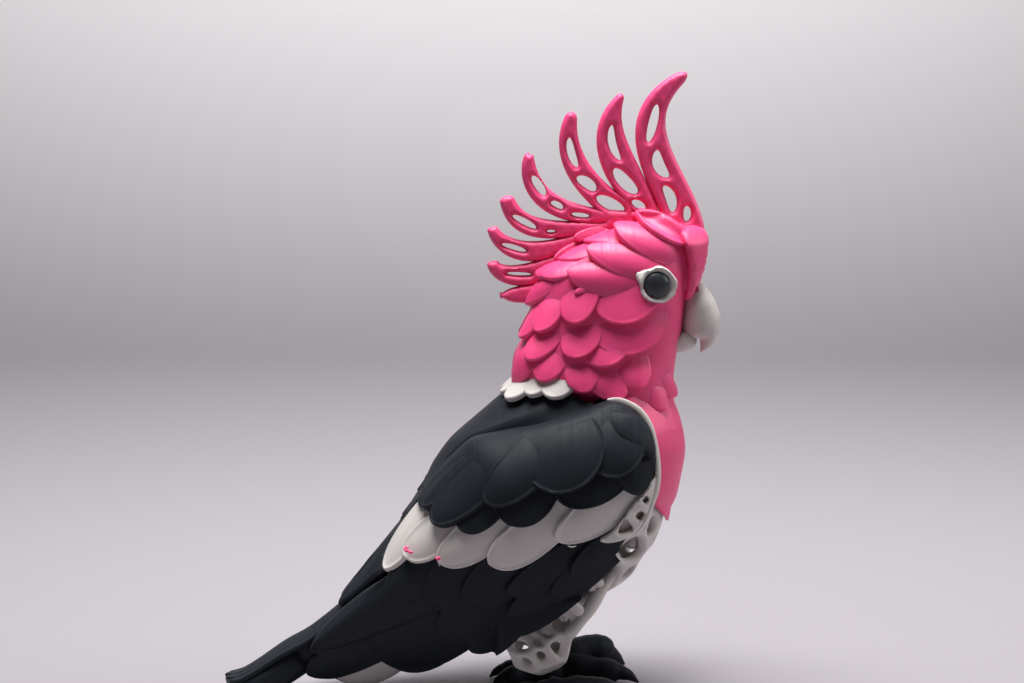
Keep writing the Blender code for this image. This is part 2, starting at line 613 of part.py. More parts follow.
coverts = feathers(COVERT_TIPS, 32)
covert_core = [(-6, 70), (4, 63), (30, 70), (48, 74), (52, 86), (44, 92.5), (36, 92.5), (10, 84)]
whites = feathers(WHITE_TIPS, 26)
white_core = [(-14, 60), (-4, 52), (10, 52), (34, 58), (44, 62), (30, 72), (0, 70)]
lowers = feathers(LOWER_TIPS, 26)
lower_core = [(-20, 40), (-16, 20), (4, 26), (24, 38), (40, 54), (20, 56), (-8, 52)]
flights = [leaf((f, u), angle, length, width, n=5) for (f, u, angle, width), length in zip(FLIGHT_TIPS, (34, 44, 40))]

covert_cut = [leaf((f, u), a, 32, w, n=4, grow=GAP) for f, u, a, w in COVERT_TIPS] + [covert_core]
white_cut = [leaf((f, u), a, 26, w, n=4, grow=GAP) for f, u, a, w in WHITE_TIPS] + [white_core]
lower_cut = [leaf((f, u), a, 26, w, n=4, grow=GAP) for f, u, a, w in LOWER_TIPS] + [lower_core]

# the white edging that rounds the front of each wing
EDGING = ((41.0, 94.3), (46.0, 93.4), (50.6, 90.8), (53.7, 86.2), (55.3, 80.5), (56.2, 73.5), (55.8, 67.5), (54.3, 62.4), (51.8, 57.0), (47.5, 52.8), (42.0, 50.2))
EDGING_OUT = curve((0, 23.0), (2, 24.4), (4, 25.4), (6, 26.2), (8, 26.4), (10, 27.6))


def edging_frame():
    path = np.array(EDGING)
    run = np.gradient(path, axis=0)
    run /= np.linalg.norm(run, axis=1)[:, None]
    return path, run, np.stack([run[:, 1], -run[:, 0]], 1)


def edging_strip(half, extra=0.0):
    path, run, across = edging_frame()
    path = np.concatenate([[path[0] - run[0] * extra], path, [path[-1] + run[-1] * extra]])
    across = np.concatenate([across[:1], across, across[-1:]])
    return [tuple(p) for p in path + across * half] + [tuple(p) for p in (path - across * half)[::-1]]


edging_cut = [edging_strip(0.75 + GAP + 0.1, 0.5)]

for side, mark in ((1, "L"), (-1, "R")):
    place = lambda p, h, side=side: np.stack([p[:, 0], side * h, p[:, 1]], 1)

    def wing_piece(name, add, cut, sink, finish, within=field, step=9.0):
        flat, tris = region(add, within=within, cut=cut, step=step)
        s, d = to_sd(flat[:, 0], flat[:, 1])
        low = wing_inside(s, d)
        high = np.maximum(wing_half(s, d) - sink, low + 0.9)
        if side < 0:
            tris = [tuple(reversed(t)) for t in tris]
        return prism(name + "_" + mark, flat, tris, high, low, finish, lift=place)

    wing_piece("wing_coverts", coverts + [covert_core], [], 0.0, DARK)
    wing_piece("wing_band", whites + [white_core], covert_cut + edging_cut, 1.3, WHITE)
    wing_piece("wing_secondaries", lowers + [lower_core], covert_cut + white_cut + edging_cut, 2.4, DARK)
    wing_piece("wing_primaries", flights, covert_cut + white_cut + lower_cut, 3.0, DARK, within=None)

# ---------------------------------------------------------------- back, tail
def mantle_grid(sink):
    rows = []
    for v in np.linspace(0, 1, 8):
        row = []
        for q in np.linspace(-1, 1, 9):
            start = 22.6 - 24.0 * q * q
            s = start + (80.0 - start) * v
            reach = float(wing_inside(s, WING_TOP(s) + 0.3)) - (2.2 if s < 30 else 1.5)
            l = q * reach
            top, edge = float(BACK(s)), float(WING_TOP(s)) + 0.6
            d_out = max(top + (edge - top) * q * q, (93 - TRUNK_TOP + 0.3 - 0.62310812 * s) / 0.78213571)
            inner = 1 - ((s - TRUNK_S) / TRUNK_LONG) ** 2 - (l / TRUNK_WIDE) ** 2
            d_trunk = TRUNK_D - TRUNK_DEEP * math.sqrt(max(inner, 0.0))
            d_out = min(d_out, d_trunk - 1.8)
            d = d_out if not sink else max(min(d_out + 3.4, d_trunk - 0.9), d_out + 0.9)
            f, u = from_sd(s, d)
            row.append((f, l, u))
        rows.append(row)
    return np.array(rows)


grid_solid("mantle", mantle_grid(False), mantle_grid(True), DARK)

TAIL_TOP = curve((60, 3.0), (70, 2.6), (80, 2.4), (88, 1.5), (100, 2.0), (112, 2.2), (122, 1.0), (131, 0.6), (137, 0.0), (142.5, -2.4))
TAIL_LOW = curve((60, 14), (88, 14), (100, 13.5), (112, 12.5), (122, 11.2), (131, 9.2), (137, 7.4), (141, 5.5))
TAIL_WIDE = curve((60, 8), (88, 8), (104, 6.4), (118, 6.8), (126, 8.4), (132, 9.2), (137, 8.8), (141.5, 7.0))


def tail_sections():
    out = []
    for s in (68, 78, 88, 97, 105, 112, 118, 124, 130, 135, 139, 142):
        top, low = float(TAIL_TOP(s)), float(TAIL_LOW(s))
        wide = float(TAIL_WIDE(s))
        if s < 120:
            d = np.linspace(top, low, 7)
            wide = min(wide, float(np.min(wing_inside(np.full(7, float(s)), d))) - 0.9)
        ring = []
        for q, side in ((-1, 1), (-0.55, 1), (0, 1), (0.55, 1), (1, 1), (1, -1), (0.55, -1), (0, -1), (-0.55, -1), (-1, -1)):
            l = q * wide
            d = top + 1.2 * q * q if side > 0 else low - 0.8 * q * q
            f, u = from_sd(s, d)
            ring.append((f, l, max(u, 0.0)))
        out.append(np.array(ring))
    return out


tube("tail", tail_sections(), DARK)

# white coverts under the tail
under = []
for s, top, low, wide in ((70.5, 17, 26, 7.5), (79, 15, 29, 9), (90, 14.7, 27, 9), (100, 14.2, 23, 8.5), (110, 13.3, 19, 7.5), (117, 12.6, 15.2, 5)):
    a = np.linspace(0, 2 * math.pi, 12, endpoint=False)
    mid, half = (top + low) / 2, (low - top) / 2
    d = mid + half * np.cos(a)
    f, u = from_sd(s, d)
    room = np.where(s < 80, wide, wing_inside(np.full(12, float(s)), d) - 1.4)
    under.append(np.stack([f, np.clip(wide * np.sin(a), -room, room), np.maximum(u, 0.6)], 1))
tube("undertail", under, WHITE)

# ---------------------------------------------------------------- breast, trim, collar
BIB_FRONT = curve((54.3, 57.4), (58.4, 60.2), (67.6, 62.9), (76.4, 64.3), (84.6, 63.0), (91.4, 60.7))
BIB_SIDE = curve((54.3, 57.0), (58.8, 57.2), (65, 56.0), (74.2, 55.3), (82.5, 54.0), (88.4, 51.0), (91.4, 48.6))
BIB_HALF = curve((54.3, 1.0), (58, 7), (64, 14), (72, 18.3), (80, 20.3), (91.4, 19.5))


def bib_grid(sink):
    rows = []
    for u in np.linspace(91.4, 54.3, 10):
        row = []
        for q in np.linspace(-1, 1, 11):
            l = q * float(BIB_HALF(u))
            f = float(BIB_FRONT(u)) - (float(BIB_FRONT(u)) - float(BIB_SIDE(u))) * abs(q) ** 2.2
            # the trunk's front at this place
            lo, hi = TRUNK_C[0], TRUNK_C[0] + 60
            for _ in range(40):
                mid = (lo + hi) / 2
                s, d = to_sd(mid, u)
                value = ((s - TRUNK_S) / TRUNK_LONG) ** 2 + ((d - TRUNK_D) / TRUNK_DEEP) ** 2 + (l / TRUNK_WIDE) ** 2
                lo, hi = (mid, hi) if value < 1 else (lo, mid)
            low = max(f - 3.6, lo + 0.7)
            row.append((low if sink else max(f, low + 1.3), l, u))
        rows.append(row)
    return np.array(rows)


grid_solid("breast", bib_grid(False), bib_grid(True), PINK)

def edging(side):
    path, run, across = edging_frame()
    rings = []
    for k, (p, a) in enumerate(zip(path, across)):
        out = float(EDGING_OUT(k))
        s, d = to_sd(p[0], p[1])
        deep = 5.5
        ring = []
        for w, h in ((-0.75, 0), (-0.75, 0.75), (-0.35, 1), (0.35, 1), (0.75, 0.75), (0.75, 0)):
            q = p + a * w
            ss, dd = to_sd(q[0], q[1])
            low = max(out - deep, float(trunk_half(ss, dd)) + 0.5, 20.7 if q[1] > 76 else 0.0)
            ring.append((q[0], side * (low + (max(out, low + 1.2) - low) * h), q[1]))
        rings.append(np.array(ring))
    return rings


for side, mark in ((1, "L"), (-1, "R")):
    tube("wing_edging_" + mark, edging(side), WHITE)


def collar_grid(out):
    rows = []
    for v in np.linspace(0, 1, 3):
        row = []
        for a in np.radians(np.linspace(-66, 66, 25)):
            lobe = abs(math.sin(a * 180 / 22)) ** 0.6
            u = 98.5 - (2.5 + 3.6 * lobe) * v * (1 - 0.25 * (a / 1.4) ** 2)
            back, front, wide = float(HEAD_BACK(u)), float(HEAD_FRONT(u)), float(HEAD_WIDE(u))
            mid, half = (back + front) / 2, (front - back) / 2
            grow = 0.45 + (out and 0.9 + 1.3 * v)
            row.append((mid - (half + grow) * math.cos(a) ** (2 / 2.35), (wide + grow) * math.copysign(abs(math.sin(a)) ** (2 / 2.35), a), u))
        rows.append(row)
    return np.array(rows)


grid_solid("nape_collar", collar_grid(True), collar_grid(False), WHITE)

# ---------------------------------------------------------------- feet
# toes as (direction in degrees from forward towards the outside, length, width, height)
TOES = ((-6, 25.0, 6.0, 7.6), (24, 22.0, 6.0, 7.6), (168, 19.0, 5.6, 6.4), (205, 16.0, 5.4, 6.0))
ANKLE = (22.5, 16.0)
ANKLE_R, ANKLE_H = 5.6, 7.4


def toe_outline(side, angle, length, width, n=5):
    a = math.radians(angle)
    along, across = np.array([math.cos(a), side * math.sin(a)]), np.array([-side * math.sin(a), math.cos(a)])
    keys = curve((0, 0.9), (0.35, 0.86), (0.62, 1.0), (0.8, 0.72), (0.9, 0.36), (1, 0.12))
    t = np.linspace(0, 1, n + 2)
    one = [np.array([ANKLE[0], side * ANKLE[1]]) + along * length * v + across * width / 2 * float(keys(v)) for v in t]
    two = [np.array([ANKLE[0], side * ANKLE[1]]) + along * length * v - across * width / 2 * float(keys(v)) for v in t]
    return [tuple(p) for p in one] + [tuple(p) for p in two[::-1]]


def toe_height(side, points):
    best = np.zeros(len(points))
    for angle, length, width, height in TOES:
        a = math.radians(angle)
        rel = points - np.array([ANKLE[0], side * ANKLE[1]])
        x = (rel[:, 0] * math.cos(a) + rel[:, 1] * side * math.sin(a)) / length
        y = (-rel[:, 0] * side * math.sin(a) + rel[:, 1] * math.cos(a)) / (width / 2)
        crown = curve((0, 0.9), (0.35, 0.8), (0.6, 0.92), (0.78, 0.6), (0.9, 0.5), (1, 0.15))
        h = height * crown(np.clip(x, 0, 1)) * (0.42 + 0.58 * np.sqrt(np.clip(1 - y * y, 0, 1)))
        best = np.maximum(best, np.where((x > -0.05) & (x < 1.02) & (np.abs(y) < 1.15), h, 0))
    r = np.hypot(points[:, 0] - ANKLE[0], points[:, 1] - side * ANKLE[1])
    return np.maximum(best, np.where(r < ANKLE_R + 0.01, ANKLE_H, 0))


for side, mark in ((1, "L"), (-1, "R")):
    a = np.linspace(0, 2 * math.pi, 12, endpoint=False)
    disc = [(ANKLE[0] + ANKLE_R * math.cos(t), side * ANKLE[1] + ANKLE_R * math.sin(t)) for t in a]
    spines = []
    for angle, length, width, height in TOES:
        b = math.radians(angle)
        spines += [(ANKLE[0] + length * v * math.cos(b), side * (ANKLE[1] + length * v * math.sin(b))) for v in (0.45, 0.6, 0.75, 0.88)]
    flat, tris = region([disc] + [toe_outline(side, t[0], t[1], t[2]) for t in TOES], step=30, also=spines)
    high = np.maximum(toe_height(side, flat), 0.8)
    prism("foot_" + mark, flat, tris, high, np.zeros(len(flat)), DARK, lift=lambda p, h: np.stack([p[:, 0], p[:, 1], h], 1))
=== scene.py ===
# Looks of the printed galah figurine: feather relief, openwork, printed-plastic finish.
# Lengths are in millimetres, points are (forward, left, up); world() turns them into the
# row frame, where the bird faces -Y, its left is +X and up is +Z.
import math
import bpy
import bmesh
import numpy as np
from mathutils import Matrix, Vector
from mathutils.geometry import delaunay_2d_cdt

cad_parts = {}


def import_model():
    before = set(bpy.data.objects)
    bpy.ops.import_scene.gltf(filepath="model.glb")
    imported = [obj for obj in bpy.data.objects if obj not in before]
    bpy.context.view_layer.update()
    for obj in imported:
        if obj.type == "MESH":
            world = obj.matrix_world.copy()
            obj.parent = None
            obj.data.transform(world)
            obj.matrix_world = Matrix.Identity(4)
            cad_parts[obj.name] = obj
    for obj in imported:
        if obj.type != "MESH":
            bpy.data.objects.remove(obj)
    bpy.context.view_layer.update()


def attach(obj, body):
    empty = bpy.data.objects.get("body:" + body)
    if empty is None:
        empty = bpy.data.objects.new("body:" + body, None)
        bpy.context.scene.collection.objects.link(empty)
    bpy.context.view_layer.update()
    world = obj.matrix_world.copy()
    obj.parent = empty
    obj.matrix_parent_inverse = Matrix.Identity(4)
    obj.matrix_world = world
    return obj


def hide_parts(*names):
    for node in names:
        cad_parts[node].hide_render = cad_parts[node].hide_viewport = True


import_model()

MM = 0.001
CENTRE_FORWARD = -0.757
LAYER = 0.0003        # height of one printed layer, in metres


# ---------------------------------------------------------------- helpers
def world(points):
    p = np.asarray(points, float)
    return np.stack([p[:, 1], -(p[:, 0] - CENTRE_FORWARD), p[:, 2]], 1) * MM


def curve(*keys):
    """A smooth function through (x, y) keys, with no overshoot between them."""
    x = np.array([k[0] for k in keys], float)
    y = np.array([k[1] for k in keys], float)
    h = np.diff(x)
    slope = np.diff(y) / h
    m = np.zeros(len(x))
    m[0], m[-1] = slope[0], slope[-1]
    for i in range(1, len(x) - 1):
        if slope[i - 1] * slope[i] > 0:
            a, b = 2 * h[i] + h[i - 1], h[i] + 2 * h[i - 1]
            m[i] = (a + b) / (a / slope[i - 1] + b / slope[i])

    def at(v):
        v = np.clip(np.asarray(v, float), x[0], x[-1])
        i = np.clip(np.searchsorted(x, v) - 1, 0, len(h) - 1)
        t = (v - x[i]) / h[i]
        return (
            y[i] * (1 + 2 * t) * (1 - t) ** 2
            + m[i] * h[i] * t * (1 - t) ** 2
            + y[i + 1] * t * t * (3 - 2 * t)
            + m[i + 1] * h[i] * t * t * (t - 1)
        )

    return at


def smooth(t):
    t = np.clip(t, 0, 1)
    return t * t * (3 - 2 * t)


def unit(v):
    return v / np.maximum(np.linalg.norm(v, axis=-1, keepdims=True), 1e-9)


def unwrap(points):
    """The body's own unwrap: once round the figure, and along it."""
    p = np.asarray(points, float)
    turn = np.arctan2(p[:, 1], p[:, 0] - (10 + 0.28 * (p[:, 2] - 60)))
    return np.stack([0.5 + turn / (2 * math.pi) * 0.96, 0.02 + (p[:, 2] + 0.35 * (75 + p[:, 0])) / 260], 1)


class Piece:
    """Many closed shapes gathered into one object, with their places on the unwrap."""

    def __init__(self, name, slot, finish, nodes=()):
        self.name, self.slot, self.finish, self.nodes = name, slot, finish, nodes
        self.points, self.faces, self.uv, self.count = [], [], [], 0

    def add(self, points, faces, root=None):
        points = np.asarray(points, float)
        if root is None:
            uv = unwrap(points)
        else:
            at = unwrap(np.asarray(root, float)[None])[0]
            local = points - points.mean(0)
            size = np.abs(local).max() + 1e-9
            uv = at + np.stack([local[:, 0] + local[:, 1], local[:, 2]], 1) / size * 0.001
        self.points.append(points)
        self.uv.append(uv)
        self.faces += [tuple(int(i) + self.count for i in f) for f in faces]
        self.count += len(points)

    def mirror(self, points, faces, root=None):
        """Adds the shape on the right side and again on the left."""
        points = np.asarray(points, float)
        self.add(points, faces, root)
        flip = points * (1, -1, 1)
        self.add(flip, [tuple(reversed(f)) for f in faces], None if root is None else np.asarray(root) * (1, -1, 1))

    def make(self, sharp=50, recalc=True):
        mesh = bpy.data.meshes.new(self.name)
        mesh.from_pydata([tuple(v) for v in world(np.concatenate(self.points))], [], self.faces)
        layer = mesh.uv_layers.new(name="OFBake")
        loops = np.empty(len(mesh.loops), np.int32)
        mesh.loops.foreach_get("vertex_index", loops)
        layer.data.foreach_set("uv", np.clip(np.concatenate(self.uv), 0.001, 0.999)[loops].astype(np.float32).ravel())
        work = bmesh.new()
        work.from_mesh(mesh)
        bmesh.ops.remove_doubles(work, verts=work.verts, dist=2e-7)
        if recalc:
            bmesh.ops.recalc_face_normals(work, faces=work.faces)
        work.to_mesh(mesh)
        work.free()
        mesh.shade_smooth()
        mesh.set_sharp_from_angle(angle=math.radians(sharp))
        mesh.materials.append(self.finish)
        made = bpy.data.objects.new(self.name, mesh)
        bpy.context.scene.collection.objects.link(made)
        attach(made, "root")
        if self.nodes:
            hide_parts(*self.nodes)
        return made


def grid_faces(rows, cols, start=0, wrap=False, turn=False):
    i = np.arange(rows - 1)[:, None]
    j = np.arange(cols if wrap else cols - 1)[None]
    k = (j + 1) % cols
    a, b, c, d = i * cols + j, i * cols + k, (i + 1) * cols + k, (i + 1) * cols + j
    q = np.stack(np.broadcast_arrays(a, b, c, d), -1).reshape(-1, 4) + start
    return [tuple(f) for f in (q[:, ::-1] if turn else q)]


def grid_solid(outer, inner):
    """Points and faces of a closed shell between two (rows, columns, 3) grids."""
    rows, cols = outer.shape[:2]
    n = rows * cols
    at = lambda i, j: i * cols + j
    faces = grid_faces(rows, cols) + grid_faces(rows, cols, n, turn=True)
    rim = [at(0, j) for j in range(cols)]
    rim += [at(i, cols - 1) for i in range(1, rows)]
    rim += [at(rows - 1, j) for j in range(cols - 2, -1, -1)]
    rim += [at(i, 0) for i in range(rows - 2, 0, -1)]
    for a, b in zip(rim, rim[1:] + rim[:1]):
        faces.append((b, a, n + a, n + b))
    return np.concatenate([outer.reshape(-1, 3), inner.reshape(-1, 3)]), faces


def tube(rings):
    """Points and faces of a closed skin over rings of equal point count."""
    n = len(rings[0])
    faces = grid_faces(len(rings), n, wrap=True)
    last = (len(rings) - 1) * n
    points = np.concatenate(list(rings) + [rings[0].mean(0)[None], rings[-1].mean(0)[None]])
    for j in range(n):
        k = (j + 1) % n
        faces.append((k, j, len(points) - 2))
        faces.append((last + j, last + k, len(points) - 1))
    return points, faces


def sweep(path, radii, n=12, squash=1.0, up=(0, 0, 1)):
    """A round tube along a path, closed at both ends."""
    path = np.asarray(path, float)
    run = unit(np.gradient(path, axis=0))
    side = unit(np.cross(run, np.asarray(up, float)))
    top = np.cross(side, run)
    a = np.linspace(0, 2 * math.pi, n, endpoint=False)
    rings = []
    for p, s, t, r in zip(path, side, top, radii):
        rings.append(p + r * (np.cos(a)[:, None] * s + squash * np.sin(a)[:, None] * t))
    return tube(rings)


def inside(poly, points):
    x, y = points[:, 0], points[:, 1]
    found = np.zeros(len(points), bool)
    for (x0, y0), (x1, y1) in zip(poly, list(poly[1:]) + [poly[0]]):
        crosses = (y0 > y) != (y1 > y)
        with np.errstate(divide="ignore", invalid="ignore"):
            found ^= crosses & (x < (x1 - x0) * (y - y0) / (y1 - y0) + x0)
    return found


def region(add, within=None, cut=(), step=5.0):
    """Triangles covering the union of the outlines in add, kept to within and clear of cut."""
    polys = [list(p) for p in add] + ([list(within)] if within is not None else []) + [list(p) for p in cut]
    verts, faces = [], []
    for p in polys:
        area = sum(a[0] * b[1] - b[0] * a[1] for a, b in zip(p, p[1:] + p[:1]))
        p = p if area > 0 else p[::-1]
        faces.append(list(range(len(verts), len(verts) + len(p))))
        verts += p
    allp = np.array([q for p in add for q in p])
    lo, hi = allp.min(0), allp.max(0)
    nx, ny = int((hi[0] - lo[0]) / step) + 2, int((hi[1] - lo[1]) / (step * 0.87)) + 2
    g = np.array([(lo[0] + (i + 0.5 * (j % 2)) * step, lo[1] + j * step * 0.87) for j in range(ny) for i in range(nx)])
    keep = np.zeros(len(g), bool)
    for p in add:
        keep |= inside(p, g)
    if within is not None:
        keep &= inside(within, g)
    for p in cut:
        keep &= ~inside(p, g)
    edge = np.array(verts)
    g = g[keep]
    if len(g):
        near = np.sqrt(((g[:, None] - edge[None]) ** 2).sum(2)).min(1)
        g = g[near > step * 0.45]
    points = [tuple(v) for v in verts] + [tuple(v) for v in g]
    out = delaunay_2d_cdt(points, [], faces, 1, 1e-3, True)
    p2 = np.array([tuple(v) for v in out[0]])
    n_add, n_in = len(add), len(add) + (within is not None)
    tris = []
    for f, origin in zip(out[2], out[5]):
        o = set(origin)
        if not any(i < n_add for i in o) or any(i >= n_in for i in o):
            continue
        if within is not None and n_add not in o:
            continue
        tris.append(tuple(f))
    used = sorted({i for f in tris for i in f})
    new = {o: i for i, o in enumerate(used)}
    return p2[used], [tuple(new[i] for i in f) for f in tris]


def border(tris):
    count = {}
    for f in tris:
        for a, b in zip(f, f[1:] + f[:1]):
            count[(a, b)] = True
    return [(a, b) for a, b in count if (b, a) not in count]


def prism(top, low, tris):
    """Points and faces of a solid between two sheets of points over one triangulation."""
    n = len(top)
    faces = [tuple(f) for f in tris] + [tuple(n + i for i in reversed(f)) for f in tris]
    faces += [(b, a, n + a, n + b) for a, b in border(tris)]
    return np.concatenate([top, low]), faces


def to_outline(points, outline):
    """Distance from each point to a closed outline, in the plane."""
    a = np.asarray(outline, float)
    b = np.roll(a, -1, 0)
    d = b - a
    best = np.full(len(points), 1e9)
    for p0, v in zip(a, d):
        w = points - p0
        t = np.clip((w @ v) / max(v @ v, 1e-12), 0, 1)
        best = np.minimum(best, np.hypot(*(w - t[:, None] * v).T))
    return best


# ---------------------------------------------------------------- finishes
def printed(name, colour, rough, spread, lines=0.16, glow=0.0, tint=None, sheen=0.5):
    """Printed plastic: fine layers stacked front to back, slight colour drift, soft gloss."""
    made = bpy.data.materials.new(name)
    made.use_nodes = True
    tree = made.node_tree
    nodes, links = tree.nodes, tree.links
    shader = nodes["Principled BSDF"]

    def put(kind, **settings):
        node = nodes.new(kind)
        for key, value in settings.items():
            setattr(node, key, value)
        return node

    def calc(operation, a, b=None, c=None, clamp=False):
        node = put("ShaderNodeMath", operation=operation, use_clamp=clamp)
        for socket, value in zip(node.inputs, (a, b, c)):
            if value is None:
                continue
            if isinstance(value, (int, float)):
                socket.default_value = value
            else:
                links.new(value, socket)
        return node.outputs[0]

    place = put("ShaderNodeTexCoord").outputs["Object"]
    split = put("ShaderNodeSeparateXYZ")
    links.new(place, split.inputs[0])
    wobble = put("ShaderNodeTexNoise")
    wobble.inputs["Scale"].default_value = 90
    wobble.inputs["Detail"].default_value = 1
    links.new(place, wobble.inputs["Vector"])
    height = calc("MULTIPLY_ADD", split.outputs["Y"], 1 / LAYER, calc("MULTIPLY", wobble.outputs[0], 0.5))
    which = calc("FLOOR", height)
    within = calc("SUBTRACT", height, which)
    wave = calc("COSINE", calc("MULTIPLY", within, 2 * math.pi))
    dice = put("ShaderNodeTexWhiteNoise", noise_dimensions="1D")
    links.new(which, dice.inputs["W"])
    strong = calc("MULTIPLY_ADD", calc("POWER", dice.outputs["Value"], 3.0), 1.3, 0.55)
    patch = put("ShaderNodeTexNoise")
    patch.inputs["Scale"].default_value = 120
    patch.inputs["Detail"].default_value = 2
    links.new(place, patch.inputs["Vector"])
    tilt = calc("MULTIPLY", calc("MULTIPLY", wave, strong), calc("MULTIPLY", calc("MULTIPLY_ADD", patch.outputs[0], 1.2, 0.4), lines))
    geometry = put("ShaderNodeNewGeometry")
    # each half was printed lying on its flat middle, so the layers stack sideways and a
    # slope that nearly faces the side shows its contours
    facing = put("ShaderNodeSeparateXYZ")
    links.new(geometry.outputs["Normal"], facing.inputs[0])
    flat_part = put("ShaderNodeVectorMath", operation="SCALE")
    links.new(geometry.outputs["Normal"], flat_part.inputs[0])
    links.new(facing.outputs["Y"], flat_part.inputs["Scale"])
    up = put("ShaderNodeVectorMath", operation="SUBTRACT")
    up.inputs[0].default_value = (0, 1, 0)
    links.new(flat_part.outputs[0], up.inputs[1])
    uphill = put("ShaderNodeVectorMath", operation="NORMALIZE")
    links.new(up.outputs[0], uphill.inputs[0])
    lean = put("ShaderNodeVectorMath", operation="SCALE")
    links.new(uphill.outputs[0], lean.inputs[0])
    links.new(tilt, lean.inputs["Scale"])
    grain = put("ShaderNodeTexNoise")
    grain.inputs["Scale"].default_value = 2600
    grain.inputs["Detail"].default_value = 2
    links.new(place, grain.inputs["Vector"])
    ripple = put("ShaderNodeTexNoise")
    ripple.inputs["Scale"].default_value = 420
    ripple.inputs["Detail"].default_value = 2
    links.new(place, ripple.inputs["Vector"])
    bump = put("ShaderNodeBump")
    bump.inputs["Strength"].default_value = 0.35
    bump.inputs["Distance"].default_value = 0.0001
    links.new(calc("MULTIPLY_ADD", grain.outputs[0], 0.45, calc("MULTIPLY", ripple.outputs[0], 0.9)), bump.inputs["Height"])
    total = put("ShaderNodeVectorMath", operation="ADD")
    links.new(bump.outputs[0], total.inputs[0])
    links.new(lean.outputs[0], total.inputs[1])
    even = put("ShaderNodeVectorMath", operation="NORMALIZE")
    links.new(total.outputs[0], even.inputs[0])
    links.new(even.outputs[0], shader.inputs["Normal"])
    # colour drifts a little from layer to layer and from place to place
    drift = put("ShaderNodeTexNoise")
    drift.inputs["Scale"].default_value = 55
    drift.inputs["Detail"].default_value = 3
    links.new(place, drift.inputs["Vector"])
    share = calc("ADD", calc("MULTIPLY", drift.outputs[0], 0.75), calc("MULTIPLY", dice.outputs["Value"], 0.25))
    mix = put("ShaderNodeMix", data_type="RGBA")
    links.new(share, mix.inputs["Factor"])
    low = tuple(c * (1 - spread) for c in colour)
    high = tuple(min(1.0, c * (1 + spread)) for c in (tint or colour))
    mix.inputs["A"].default_value = (*low, 1)
    mix.inputs["B"].default_value = (*high, 1)
    # the seam between two layers is a little darker
    seam = calc("MULTIPLY_ADD", calc("POWER", calc("MULTIPLY_ADD", wave, 0.5, 0.5), 3.0), -1.3 * lines, 1.0 + 0.3 * lines)
    shaded = put("ShaderNodeVectorMath", operation="SCALE")
    links.new(mix.outputs["Result"], shaded.inputs[0])
    links.new(seam, shaded.inputs["Scale"])
    links.new(shaded.outputs[0], shader.inputs["Base Color"])
    links.new(calc("MULTIPLY_ADD", ripple.outputs[0], 0.16, rough - 0.08), shader.inputs["Roughness"])
    shader.inputs["Specular IOR Level"].default_value = sheen
    if glow:
        shader.inputs["Subsurface Weight"].default_value = glow
        shader.inputs["Subsurface Radius"].default_value = (1.0, 0.35, 0.4)
        shader.inputs["Subsurface Scale"].default_value = 0.0012
    return made


PINK = printed("pink_print", (0.86, 0.066, 0.225), 0.44, 0.05, lines=0.24, glow=0.22)
WHITE = printed("white_print", (0.60, 0.565, 0.54), 0.46, 0.03, lines=0.17, glow=0.08)
DARK = printed("charcoal_print", (0.0135, 0.0165, 0.0215), 0.52, 0.10, lines=0.24, sheen=0.13)
EYE_DARK = printed("eye_print", (0.022, 0.026, 0.032), 0.36, 0.08, lines=0.10, sheen=0.5)
# painted shade: the nostrils are pink plastic, and this dark red is the pink as it looks in shade
NOSTRIL_PAINTED_SHADE = printed("nostril_painted_shade", (0.35, 0.012, 0.04), 0.5, 0.10, lines=0.1)


# ---------------------------------------------------------------- body coordinates
# s runs from the neck to the tail tip, d runs from the back towards the belly
NECK_ROOT = np.array([37.0, 93.0])
ALONG = np.array([-0.78213571, -0.62310812])
DOWN = np.array([0.62310812, -0.78213571])


def to_sd(f, u):
    q0, q1 = np.asarray(f) - NECK_ROOT[0], np.asarray(u) - NECK_ROOT[1]
    return q0 * ALONG[0] + q1 * ALONG[1], q0 * DOWN[0] + q1 * DOWN[1]


def from_sd(s, d):
    return NECK_ROOT[0] + s * ALONG[0] + d * DOWN[0], NECK_ROOT[1] + s * ALONG[1] + d * DOWN[1]


TRUNK_S, TRUNK_D = 31.5, 19.5
TRUNK_LONG, TRUNK_DEEP, TRUNK_WIDE = 36.0, 32.0, 26.5
TRUNK_TOP = 91.2
TRUNK_C = np.array([from_sd(TRUNK_S, TRUNK_D)[0], 0.0, from_sd(TRUNK_S, TRUNK_D)[1]])


def trunk_half(s, d):
    inner = 1 - ((s - TRUNK_S) / TRUNK_LONG) ** 2 - ((d - TRUNK_D) / TRUNK_DEEP) ** 2
    return TRUNK_WIDE * np.sqrt(np.clip(inner, 0, None))


BACK = curve((-20, -17.5), (0, -18.5), (16, -17.6), (32, -16.8), (41, -16.4), (50.7, -14), (57, -11.0), (66, -7.6), (80, -2.4))
WING_TOP = curve((-12, 6), (-5, 3), (-1.4, 1.4), (5.7, -0.8), (16.7, -5.1), (27.7, -10.4), (36.8, -13.9), (45, -13), (53.8, -11.5), (60, -9.5), (66, -7.5), (72, -5.5), (79, -2.0), (86, 1.2), (95, 2.6), (105, 3.2), (122, 4.5))
SKIN_TOP = curve((-14, 3), (0, 0), (16, -6.2), (28, -11.4), (37, -14.8), (54, -12.8), (66, -9), (79, -4), (92, -0.6), (105, 1), (122, 2))
WING_EDGE = curve((-14, 20), (-5, 21), (10, 20), (30, 15.5), (40, 11), (50, 6.5), (58, 4.6), (80, 4.4), (100, 6.2), (112, 7.2), (122, 7.8))
WING_WIDE = curve((-14, 23), (-8, 26), (-2, 30), (6, 33.5), (18, 35.5), (32, 36), (45, 34.5), (58, 32), (72, 28.5), (86, 23), (100, 17.5), (112, 14.0), (124, 11.8))
WING_MID = curve((-14, 14), (0, 16), (20, 16), (40, 14), (60, 10), (80, 9), (124, 7))
WING_LOW = curve((-14, 20), (0, 28), (9, 33), (26, 41), (46, 41), (72, 38), (92, 28), (105, 22), (124, 13))
WING_TUCK = curve((-14, 3), (20, 6), (60, 6), (100, 4), (124, 3))
